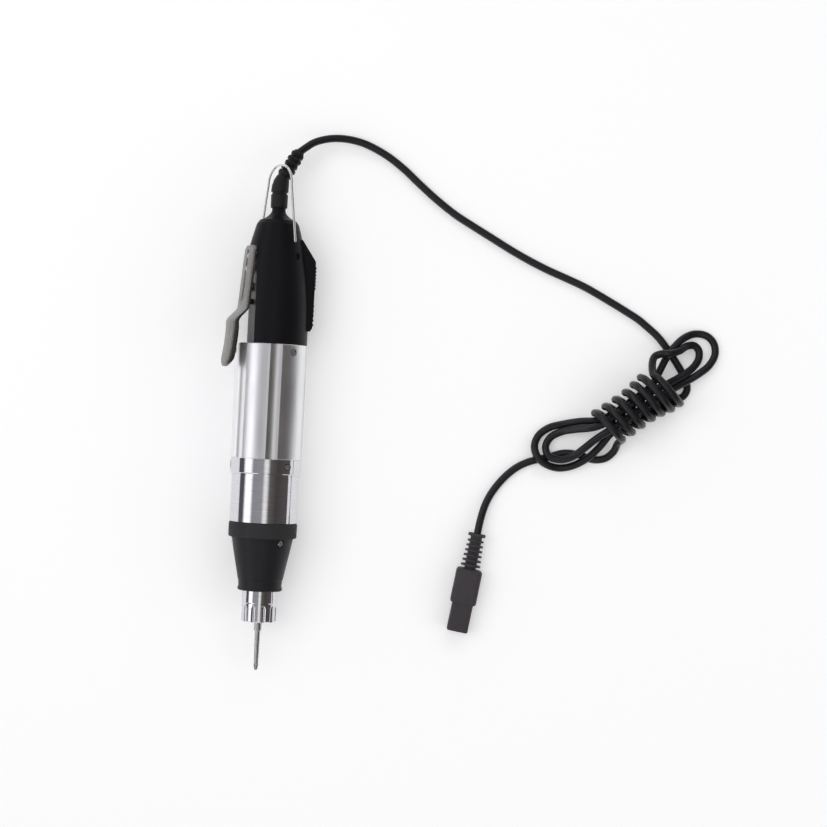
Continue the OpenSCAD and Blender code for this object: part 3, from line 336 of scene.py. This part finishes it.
wire(tree, air.outputs[0], metal_or_air.inputs[1])
wire(tree, seen_in_metal.outputs[0], metal_or_air.inputs[2])
wire(tree, rays.outputs["Is Camera Ray"], pick.inputs["Fac"])
wire(tree, metal_or_air.outputs[0], pick.inputs[1])
wire(tree, white.outputs[0], pick.inputs[2])
wire(tree, pick.outputs[0], out.inputs["Surface"])
print("stops in the sky that metal sees:", len(STOPS))

# %% [markdown]
# Three broad lamps light the matt surfaces and lay soft shadows. They don't show
# in metal, because the sky already draws the bands there.

# %% Lamps
def lamp(name, at, size, power, aim=(0.03, 0, 0.02)):
    data = bpy.data.lights.new(name, "AREA")
    data.shape, data.size, data.size_y, data.energy = "RECTANGLE", size[0], size[1], power
    made = bpy.data.objects.new(name, data)
    made.location = at
    made.rotation_euler = (Vector(at) - Vector(aim)).to_track_quat("Z", "Y").to_euler()
    made.visible_glossy = False
    scene.collection.objects.link(made)
    return made

lamp("key_lamp", (-0.5, 0.1, 1.3), (0.8, 1.4), 7)
lamp("fill_lamp", (1.25, -0.35, 0.9), (0.9, 1.1), 3.5)
lamp("top_lamp", (0.35, 1.3, 1.2), (1.2, 0.6), 3.5)

# %% [markdown]
# ## Node groups that several finishes share
#
# Three effects turn up in almost every finish. *Grain* is fine noise, stretched
# along the way the metal was brushed or turned. *Smudges* are broad, soft
# patches that change the gloss. *Edge wear* finds corners by comparing the
# surface's normal with a rounded one. Each is one group with its own inputs.

# %% Group: grain
def new_group(name, inputs, outputs):
    group = bpy.data.node_groups.new(name, "ShaderNodeTree")
    for label, kind, value in inputs:
        socket = group.interface.new_socket(label, in_out="INPUT", socket_type=kind)
        if value is not None:
            socket.default_value = value
    for label, kind in outputs:
        group.interface.new_socket(label, in_out="OUTPUT", socket_type=kind)
    return group, add(group, "NodeGroupInput"), add(group, "NodeGroupOutput")

grain, given, result = new_group(
    "grain", [("Stretch", "NodeSocketVector", (1, 1, 1)), ("Scale", "NodeSocketFloat", 2000.0)],
    [("Height", "NodeSocketFloat"), ("Mask", "NodeSocketFloat")])
where = add(grain, "ShaderNodeTexCoord")
longer = add(grain, "ShaderNodeVectorMath")
longer.operation = "MULTIPLY"
noise = add(grain, "ShaderNodeTexNoise", Detail=3.0, Roughness=0.6)
sharpen = add(grain, "ShaderNodeMapRange", From_Min=0.35, From_Max=0.65)
wire(grain, where.outputs["Object"], longer.inputs[0])
wire(grain, given.outputs["Stretch"], longer.inputs[1])
wire(grain, longer.outputs[0], noise.inputs["Vector"])
wire(grain, given.outputs["Scale"], noise.inputs["Scale"])
wire(grain, noise.outputs["Fac"], sharpen.inputs["Value"])
wire(grain, noise.outputs["Fac"], result.inputs["Height"])
wire(grain, sharpen.outputs[0], result.inputs["Mask"])

# %% Group: smudges
smudges, given, result = new_group(
    "smudges", [("Scale", "NodeSocketFloat", 60.0), ("Low", "NodeSocketFloat", 0.2), ("High", "NodeSocketFloat", 0.4)],
    [("Roughness", "NodeSocketFloat")])
where = add(smudges, "ShaderNodeTexCoord")
noise = add(smudges, "ShaderNodeTexNoise", Detail=5.0, Roughness=0.55, Distortion=0.6)
spread = add(smudges, "ShaderNodeMapRange", From_Min=0.3, From_Max=0.7)
wire(smudges, where.outputs["Object"], noise.inputs["Vector"])
wire(smudges, given.outputs["Scale"], noise.inputs["Scale"])
wire(smudges, noise.outputs["Fac"], spread.inputs["Value"])
wire(smudges, given.outputs["Low"], spread.inputs["To Min"])
wire(smudges, given.outputs["High"], spread.inputs["To Max"])
wire(smudges, spread.outputs[0], result.inputs["Roughness"])

# %% Group: edge wear
edge_wear, given, result = new_group(
    "edge_wear", [("Radius", "NodeSocketFloat", 0.0004), ("Amount", "NodeSocketFloat", 1.0)],
    [("Mask", "NodeSocketFloat")])
rounded = add(edge_wear, "ShaderNodeBevel")
rounded.samples = 4
shape = add(edge_wear, "ShaderNodeNewGeometry")
facing = add(edge_wear, "ShaderNodeVectorMath")
facing.operation = "DOT_PRODUCT"
corner = add(edge_wear, "ShaderNodeMapRange", From_Min=0.995, From_Max=0.8)
where = add(edge_wear, "ShaderNodeTexCoord")
noise = add(edge_wear, "ShaderNodeTexNoise", Scale=900.0, Detail=2.0)
broken = add(edge_wear, "ShaderNodeMapRange", From_Min=0.4, From_Max=0.6)
worn = add(edge_wear, "ShaderNodeMath")
worn.operation = "MULTIPLY"
share = add(edge_wear, "ShaderNodeMath")
share.operation = "MULTIPLY"
wire(edge_wear, given.outputs["Radius"], rounded.inputs["Radius"])
wire(edge_wear, rounded.outputs[0], facing.inputs[0])
wire(edge_wear, shape.outputs["Normal"], facing.inputs[1])
wire(edge_wear, facing.outputs["Value"], corner.inputs["Value"])
wire(edge_wear, where.outputs["Object"], noise.inputs["Vector"])
wire(edge_wear, noise.outputs["Fac"], broken.inputs["Value"])
wire(edge_wear, corner.outputs[0], worn.inputs[0])
wire(edge_wear, broken.outputs[0], worn.inputs[1])
wire(edge_wear, worn.outputs[0], share.inputs[0])
wire(edge_wear, given.outputs["Amount"], share.inputs[1])
wire(edge_wear, share.outputs[0], result.inputs["Mask"])
print("groups:", [g.name for g in bpy.data.node_groups])

# %% [markdown]
# ## One recipe for the finishes
#
# Every finish has two tones that the grain mixes, a gloss that the smudges
# change, a fine relief, and if it is hard, worn corners in a third tone. What
# differs is the numbers. The stretch is small along the brushing direction, so
# the noise is drawn out into lines there.

# %% The recipe
def use_group(tree, group, **sockets):
    made = tree.nodes.new("ShaderNodeGroup")
    made.node_tree = group
    for name, value in sockets.items():
        made.inputs[name].default_value = value
    return made

def finish(name, tone, other, gloss, metal=0.0, stretch=(1, 1, 1), scale=2000.0, relief=0.1, depth=0.00002,
           smudge=60.0, worn=None, wear=0.0, radius=0.0004, **sockets):
    material = bpy.data.materials.new(name)
    material.use_nodes = True
    tree = material.node_tree
    shader = tree.nodes["Principled BSDF"]
    shader.inputs["Metallic"].default_value = metal
    for socket, value in sockets.items():
        shader.inputs[socket.replace("_", " ")].default_value = value
    lines = use_group(tree, grain, Stretch=stretch, Scale=scale)
    patches = use_group(tree, smudges, Scale=smudge, Low=gloss[0], High=gloss[1])
    mix = tree.nodes.new("ShaderNodeMix")
    mix.data_type = "RGBA"
    mix.inputs[6].default_value, mix.inputs[7].default_value = (*tone, 1), (*other, 1)
    wire(tree, lines.outputs["Mask"], mix.inputs[0])
    colour = mix.outputs[2]
    if worn:
        edges = use_group(tree, edge_wear, Radius=radius, Amount=wear)
        rub = tree.nodes.new("ShaderNodeMix")
        rub.data_type = "RGBA"
        rub.inputs[7].default_value = (*worn, 1)
        wire(tree, edges.outputs["Mask"], rub.inputs[0])
        wire(tree, colour, rub.inputs[6])
        colour = rub.outputs[2]
    wire(tree, colour, shader.inputs["Base Color"])
    wire(tree, patches.outputs["Roughness"], shader.inputs["Roughness"])
    bump = add(tree, "ShaderNodeBump", Strength=relief, Distance=depth)
    wire(tree, lines.outputs["Height"], bump.inputs["Height"])
    wire(tree, bump.outputs[0], shader.inputs["Normal"])
    return material

print("the recipe mixes", grain.name, "and", smudges.name, "and adds", edge_wear.name)

# %% [markdown]
# ## Finishes that show
#
# The gear case, the adjusting nut and the coupling ring are chromed and
# polished. The motor housing is satin aluminium, brushed along its length. The
# lever is polished sheet that fingers have dulled. The mouldings are black, with
# a trace of violet where they are polished, and the cord is glossy.

# %% Metals outside
ALONG = (1, 0.02, 1)
ROUND_IT = (0.04, 1, 0.04)
finishes = {}
finishes["chrome"] = finish("polished_chrome", (0.74, 0.735, 0.76), (0.64, 0.63, 0.655), (0.05, 0.13), 1.0, ROUND_IT,
                            2600, 0.04, 0.00001, 90)
finishes["aluminium"] = finish("satin_aluminium", (0.93, 0.93, 0.935), (0.85, 0.85, 0.86), (0.33, 0.4), 1.0, ALONG,
                               2400, 0.1, 0.00001, 35)
finishes["lever_steel"] = finish("polished_strip", (0.3, 0.287, 0.275), (0.21, 0.2, 0.19), (0.22, 0.36), 1.0, ALONG,
                                 1800, 0.12, 0.00001, 120, (0.62, 0.61, 0.59), 0.7)
finishes["steel"] = finish("turned_steel", (0.6, 0.59, 0.58), (0.45, 0.44, 0.43), (0.2, 0.38), 1.0, ROUND_IT,
                           3000, 0.15, 0.00001, 150)
finishes["wire"] = finish("drawn_wire", (0.8, 0.8, 0.8), (0.68, 0.68, 0.68), (0.12, 0.24), 1.0, ALONG, 3000, 0.05,
                          0.00001, 200)
print("metals:", list(finishes))

# %% Mouldings, rubber and cord
finishes["black_case"] = finish("black_moulding", (0.007, 0.006, 0.0075), (0.0055, 0.0048, 0.006), (0.34, 0.46),
                                0.0, (1, 1, 1), 4200, 0.12, 0.00003, 45, (0.03, 0.028, 0.03), 0.3,
                                Specular_IOR_Level=0.12)
finishes["nose_black"] = finish("charcoal_moulding", (0.014, 0.0125, 0.0145), (0.011, 0.0098, 0.0115), (0.42, 0.55),
                                0.0, (1, 1, 1), 4200, 0.14, 0.00003, 60, (0.045, 0.042, 0.045), 0.4,
                                Specular_IOR_Level=0.25)
finishes["rubber_ring"] = finish("matte_rubber", (0.02, 0.0195, 0.021), (0.03, 0.029, 0.031), (0.55, 0.75), 0.0,
                                 (1, 1, 1), 3000, 0.25, 0.00004, 80, Specular_IOR_Level=0.25)
finishes["boot_black"] = finish("boot_moulding", (0.012, 0.011, 0.012), (0.009, 0.0085, 0.009), (0.38, 0.56), 0.0,
                                (1, 1, 1), 3000, 0.2, 0.00004, 120, Specular_IOR_Level=0.25)
finishes["cord_black"] = finish("cord_skin", (0.008, 0.0077, 0.009), (0.012, 0.0115, 0.0135), (0.24, 0.38), 0.0,
                                (1, 1, 1), 1600, 0.1, 0.00004, 130, Specular_IOR_Level=0.35)
finishes["connector_grey"] = finish("connector_moulding", (0.05, 0.043, 0.048), (0.04, 0.034, 0.038), (0.42, 0.6),
                                    0.0, (1, 1, 1), 2600, 0.25, 0.00005, 110, (0.1, 0.09, 0.095), 0.5,
                                    Specular_IOR_Level=0.3)
finishes["switch_black"] = finish("switch_moulding", (0.01, 0.0095, 0.011), (0.014, 0.013, 0.015), (0.3, 0.45), 0.0,
                                  (1, 1, 1), 3600, 0.1, 0.00003, 100, (0.04, 0.04, 0.04), 0.3,
                                  Specular_IOR_Level=0.25)
finishes["contact"] = finish("plated_contact", (0.85, 0.64, 0.3), (0.7, 0.5, 0.22), (0.15, 0.3), 1.0, (1, 1, 1),
                             3000, 0.05, 0.00001, 300)

# %% [markdown]
# ## Finishes inside
#
# The gears, the clutch and the motor are shut away, but the piece comes apart, so
# they are finished too. The laminations and the windings get grain that is drawn
# out round the rotor, which reads as stacked sheet and as wound wire.

# %% Inner finishes
finishes["spring_steel"] = finish("oiled_spring_steel", (0.3, 0.3, 0.32), (0.2, 0.2, 0.22), (0.22, 0.4), 1.0,
                                  (1, 1, 1), 1500, 0.1, 0.00001, 200)
finishes["bronze"] = finish("sintered_bronze", (0.6, 0.42, 0.2), (0.42, 0.28, 0.13), (0.4, 0.6), 1.0, (1, 1, 1),
                            5000, 0.4, 0.00003, 300)
finishes["copper"] = finish("enamelled_copper", (0.62, 0.24, 0.1), (0.36, 0.12, 0.05), (0.2, 0.34), 1.0,
                            (0.2, 4, 0.2), 2200, 0.5, 0.0001, 200)
finishes["magnet"] = finish("ferrite", (0.07, 0.07, 0.075), (0.12, 0.12, 0.125), (0.5, 0.7), 0.3, (1, 1, 1), 3500,
                            0.3, 0.00005, 200)
finishes["laminations"] = finish("stacked_laminations", (0.34, 0.33, 0.32), (0.16, 0.155, 0.15), (0.3, 0.5), 1.0,
                                 (0.02, 3, 0.02), 1500, 0.5, 0.00008, 200)
finishes["carbon"] = finish("pressed_carbon", (0.03, 0.03, 0.032), (0.06, 0.06, 0.062), (0.5, 0.7), 0.0, (1, 1, 1),
                            5000, 0.3, 0.00003, 200)
finishes["cream_plastic"] = finish("cream_moulding", (0.68, 0.61, 0.45), (0.6, 0.53, 0.38), (0.4, 0.55), 0.0,
                                   (1, 1, 1), 2600, 0.1, 0.00003, 100)
finishes["plunger_black"] = finish("plunger_moulding", (0.012, 0.0115, 0.012), (0.009, 0.0085, 0.009), (0.25, 0.4),
                                   0.0, (1, 1, 1), 2600, 0.1, 0.00003, 200, Specular_IOR_Level=0.25)
finishes["board"] = finish("solder_mask", (0.02, 0.16, 0.07), (0.035, 0.24, 0.11), (0.2, 0.35), 0.0, (1, 0.1, 1),
                           500, 0.3, 0.00005, 90)

# %% [markdown]
# The model's record names a finish for every solid, and the table above has one
# under the same name. A solid keeps its shape and only its material changes.

# %% Give each solid its finish
slot_of = {s["node"]: s["material_slot"] for s in frame["record"]["subparts"]}
for name, solid in frame["nodes"].items():
    solid.data.materials.clear()
    solid.data.materials.append(finishes[slot_of[name]])
cord.data.materials.append(finishes["cord_black"])
print("finishes:", len(finishes), "on", len(slot_of), "solids")

# %% [markdown]
# ## The plug and its boot
#
# The plug is a straight collar and body, and the boot behind it is a rubber
# sleeve with slots cut from alternate sides, so that it bends. A sweep makes it:
# rings of points along the line, each with its own radius. In the boot every
# ring of points also dips on two sides, and the dips swap sides from rib to rib.

# %% Sweep rings along a line
def show_piece(name, mesh):
    piece = bpy.data.objects.new(name, mesh)
    scene.collection.objects.link(piece)
    return piece

def sweep(name, rings):
    mesh = bpy.data.meshes.new(name)
    bm = bmesh.new()
    loops = [[bm.verts.new(p) for p in ring] for ring in rings]
    count = len(loops[0])
    for a, b in zip(loops, loops[1:]):
        for i in range(count):
            bm.faces.new((a[i], a[(i + 1) % count], b[(i + 1) % count], b[i]))
    bm.faces.new(reversed(loops[0]))
    bm.faces.new(loops[-1])
    bmesh.ops.recalc_face_normals(bm, faces=bm.faces)
    for face in bm.faces:
        face.smooth = len(face.verts) == 4
    bm.to_mesh(mesh)
    bm.free()
    return show_piece(name, mesh)

def ring_across(centre, ahead, radius_at, sides=48):
    across = Vector((0, 0, 1)) - ahead * ahead.z
    across.normalize()
    other = ahead.cross(across)
    turn = [i * 2 * math.pi / sides for i in range(sides)]
    return [centre + (across * math.cos(t) + other * math.sin(t)) * radius_at(t) for t in turn]

# %% Plug with its ribbed boot
PLUG_STEPS = [(-2.6, 2.55), (0, 2.55), (0.05, 4.15), (0.35, 4.35), (6.7, 4.4), (7, 4.2), (7.25, 3.8), (7.95, 3.8),
              (8.2, 4.3), (8.5, 4.5), (11, 4.45), (13.6, 4.15), (15.6, 3.6), (16.8, 3.1)]
RIBS, RIB_PITCH, RIBS_FROM, CORE_R = 5, 3.1, 17.5, 2.75
RIB_STEPS = [(0, 0), (0.12, 0.8), (0.35, 1), (1.35, 1), (1.6, 0.8), (1.72, 0), (2.9, 0)]

def slotted(angle):
    return 0.55 + 0.45 * min(1, 2.2 * abs(math.cos(angle)))

def boot_rings():
    rings = []
    def one(l, radius_at):
        ahead = (boot_point(l + 0.05) - boot_point(l - 0.05)).normalized()
        rings.append(ring_across(boot_point(l), ahead, radius_at))
    for l, r in PLUG_STEPS:
        one(l, lambda t, r=r: r * MM)
    for i in range(RIBS):
        proud = 4.15 - 0.5 * i / RIBS - CORE_R
        phase = math.pi / 2 * (i % 2)
        for at, share in RIB_STEPS:
            one(RIBS_FROM + i * RIB_PITCH + at,
                lambda t, high=proud * share, p=phase: (CORE_R + high * slotted(t - p)) * MM)
    one(RIBS_FROM + RIBS * RIB_PITCH - 0.2, lambda t: 2.2 * MM)
    return rings

boot = sweep("plug_and_boot", boot_rings())
boot.data.materials.append(finishes["boot_black"])
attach(boot, "housing")
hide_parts("cord_plug")
print("boot:", len(boot.data.polygons), "faces")

# %% [markdown]
# ## The end connector
#
# It is a flat moulding: a ribbed boot, a body with rounded sides and a smaller
# nose with a mouth. Each cross-section is a rounded rectangle, and the sweep
# joins them. The mouth is a second, smaller tube that goes back into the nose.

# %% Rounded cross-sections
END_AT, END_TURN = Vector((113.7, -55.7, 5.5)) * MM, math.radians(-99)
END_X = Vector((math.cos(END_TURN), math.sin(END_TURN), 0))
END_Y = Vector((-END_X.y, END_X.x, 0))

def section(at, width, thick, corner, count=9):
    points = []
    for cy, cz, first in ((1, 1, 0), (-1, 1, 90), (-1, -1, 180), (1, -1, 270)):
        for k in range(count):
            a = math.radians(first + 90 * k / (count - 1))
            y = cy * (width / 2 - corner) + corner * math.cos(a)
            z = cz * (thick / 2 - corner) + corner * math.sin(a)
            points.append(END_AT + (END_X * at + END_Y * y) * MM + Vector((0, 0, z * MM)))
    return points

# %% Connector body
BOOT_L, BODY_END, NOSE_END = 19.0, 37.5, 52.2
BODY_W, BODY_T, NOSE_W, NOSE_T = 13.7, 11.0, 11.0, 9.4
BODY_STEPS = [(BOOT_L - 0.1, 2.4, 2.4, 2.6), (BOOT_L + 0.3, 1, 1, 2.8), (BOOT_L + 1.2, 0.1, 0.1, 2.9),
              (BODY_END - 1.4, 0, 0, 2.6), (BODY_END - 0.5, 0.4, 0.3, 2.4)]
NOSE_STEPS = [(BODY_END, -0.5, 2), (BODY_END + 0.3, 0, 1.8), (NOSE_END - 0.6, 0, 1.7), (NOSE_END, 0.6, 1.5),
              (NOSE_END, 2.2, 0.9), (NOSE_END - 0.3, 2.5, 0.8), (NOSE_END - 10.4, 2.5, 0.8)]

def boot_disc(at, r):
    return section(at, 2 * r, 2 * r, r * 0.999)

def connector_rings():
    rings = [boot_disc(0, 2.2), boot_disc(0, 4.4), boot_disc(0.3, 4.6), boot_disc(1.5, 4.6), boot_disc(1.8, 3.1)]
    for i in range(6):
        at, r = 3.4 + i * 2.6, 4.3 + 1.1 * i / 6
        rings += [boot_disc(at, 3.1), boot_disc(at + 0.1, r - 0.2), boot_disc(at + 0.25, r),
                  boot_disc(at + 0.95, r), boot_disc(at + 1.1, r - 0.2), boot_disc(at + 1.2, 3.1)]
    rings.append(section(BOOT_L - 0.2, 6.2, 6.2, 3.09))
    for at, less_wide, less_thick, corner in BODY_STEPS:
        rings.append(section(at, BODY_W - less_wide, BODY_T - less_thick, corner))
    for at, less, corner in NOSE_STEPS:
        rings.append(section(at, NOSE_W - less, NOSE_T - less, corner))
    return rings

connector = sweep("cord_connector", connector_rings())
connector.data.materials.append(finishes["connector_grey"])
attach(connector, "housing")
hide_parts("end_connector")
print("connector:", len(connector.data.polygons), "faces")

# %% [markdown]
# ## The start lever
#
# The lever is one strip of sheet steel. Its edges are folded down, a groove runs
# down the upper half with two rivets in it, and below the bend it swells into a
# paddle for the finger. It could be a flat plate with a bevel, but the folded
# edges catch the light all the way down. So one cross-section is swept down the
# lever, and its width, fold and groove change on the way.

# %% Lever's line and widths, in mm above the joint of the two housings
REAR_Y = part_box("motor_housing")[1].y
LEVER_TOP, LEVER_BEND, LEVER_PADDLE, LEVER_TIP = 50.2, 18.9, 10.2, -12.6
LEVER_FACES = math.radians(27)
LEVER_WIDE, SHEET = 13.0, 1.3
lever_out = Vector((-math.cos(LEVER_FACES), 0, math.sin(LEVER_FACES)))
lever_up = Vector((math.sin(LEVER_FACES), 0, math.cos(LEVER_FACES)))

def ease(value, low, high):
    t = min(max((value - low) / (high - low), 0), 1)
    return t * t * (3 - 2 * t)

def lever_radius(h):
    if h > LEVER_BEND:
        return 15.2 + (LEVER_TOP - h) * math.tan(math.radians(5))
    if h > LEVER_PADDLE:
        t = (LEVER_BEND - h) / (LEVER_BEND - LEVER_PADDLE)
        return 17.94 + 6.2 * t * t * (3 - 2 * t)
    return 24.14 + 2.6 * ((LEVER_PADDLE - h) / (LEVER_PADDLE - LEVER_TIP)) ** 1.8

def lever_width(h):
    if h < LEVER_TIP + 5.2:
        return max(2.6, (LEVER_WIDE - 1.8) * math.sqrt(max(0, 1 - ((LEVER_TIP + 5.2 - h) / 5.2) ** 2)))
    return LEVER_WIDE - 2 * max(0, h - LEVER_TOP + 2) - 1.8 * ease(-h, -17, -6)

# %% Lever
def lever_ring(h):
    half = lever_width(h) / 2
    fold = 1.4 + 0.5 * ease(-h, -44, -34) + 1.3 * ease(-h, -18, -6) - 1.2 * ease(-h, 8, 12.4)
    groove = 0.55 * ease(h, LEVER_BEND + 1, LEVER_BEND + 6) * ease(-h, -LEVER_TOP + 1.5, -LEVER_TOP + 3)
    outer = [(-half, -fold), (-half, -0.9), (-half + 0.22, -0.35), (-half + 0.8, -0.06), (-0.28 * half, 0.12),
             (-0.24 * half, 0.12 - groove), (0.06 * half, 0.12 - groove), (0.1 * half, 0.12),
             (half - 0.8, -0.06), (half - 0.22, -0.35), (half, -0.9), (half, -fold)]
    inner = [(half - 1.1, -fold), (half - 1.1, -SHEET - 0.1), (0.1 * half, -SHEET), (-0.24 * half, -SHEET),
             (-half + 1.1, -SHEET - 0.1), (-half + 1.1, -fold)]
    middle = Vector((AXIS_X, REAR_Y + h * MM, AXIS_Z))
    return [middle + (lever_out * (lever_radius(h) + up) + lever_up * across) * MM for across, up in outer + inner]

heights = [LEVER_TOP, 49.4, 48.6, 48.2, 47.6] + [46.5 - 2 * i for i in range(12)]
heights += [22.4, 20.6, 18.9] + [18.9 - 0.725 * i for i in range(1, 13)]
heights += [8.6, 6.8, 5, 3, 1, -1, -3, -5, -7.4, -8.6, -9.8, -10.8, -11.6, -12.1, -12.4, LEVER_TIP]
lever = sweep("start_lever_sheet", [lever_ring(h) for h in heights])
lever.data.set_sharp_from_angle(angle=math.radians(38))
lever.data.materials.append(finishes["lever_steel"])
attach(lever, "start_lever")
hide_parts("start_lever")
print("lever:", len(lever.data.polygons), "faces")

# %% Rivet heads
def lever_rivets():
    mesh = bpy.data.meshes.new("lever_rivets")
    bm = bmesh.new()
    for h in (44.8, 38.1):
        at = Vector((AXIS_X, REAR_Y + h * MM, AXIS_Z)) + (lever_out * (lever_radius(h) - 0.5) - lever_up * 0.6) * MM
        turned = Matrix.Rotation(-math.pi / 2 + LEVER_FACES, 4, "Y")
        flat = Matrix.Diagonal((1.45 * MM, 1.45 * MM, 0.75 * MM, 1))
        place = Matrix.Translation(at) @ turned @ flat
        bmesh.ops.create_uvsphere(bm, u_segments=24, v_segments=12, radius=1, matrix=place)
    for face in bm.faces:
        face.smooth = True
    bm.to_mesh(mesh)
    bm.free()
    return show_piece("lever_rivets", mesh)

rivets = lever_rivets()
rivets.data.materials.append(finishes["steel"])
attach(rivets, "start_lever")
print("rivets:", len(rivets.data.polygons), "faces")
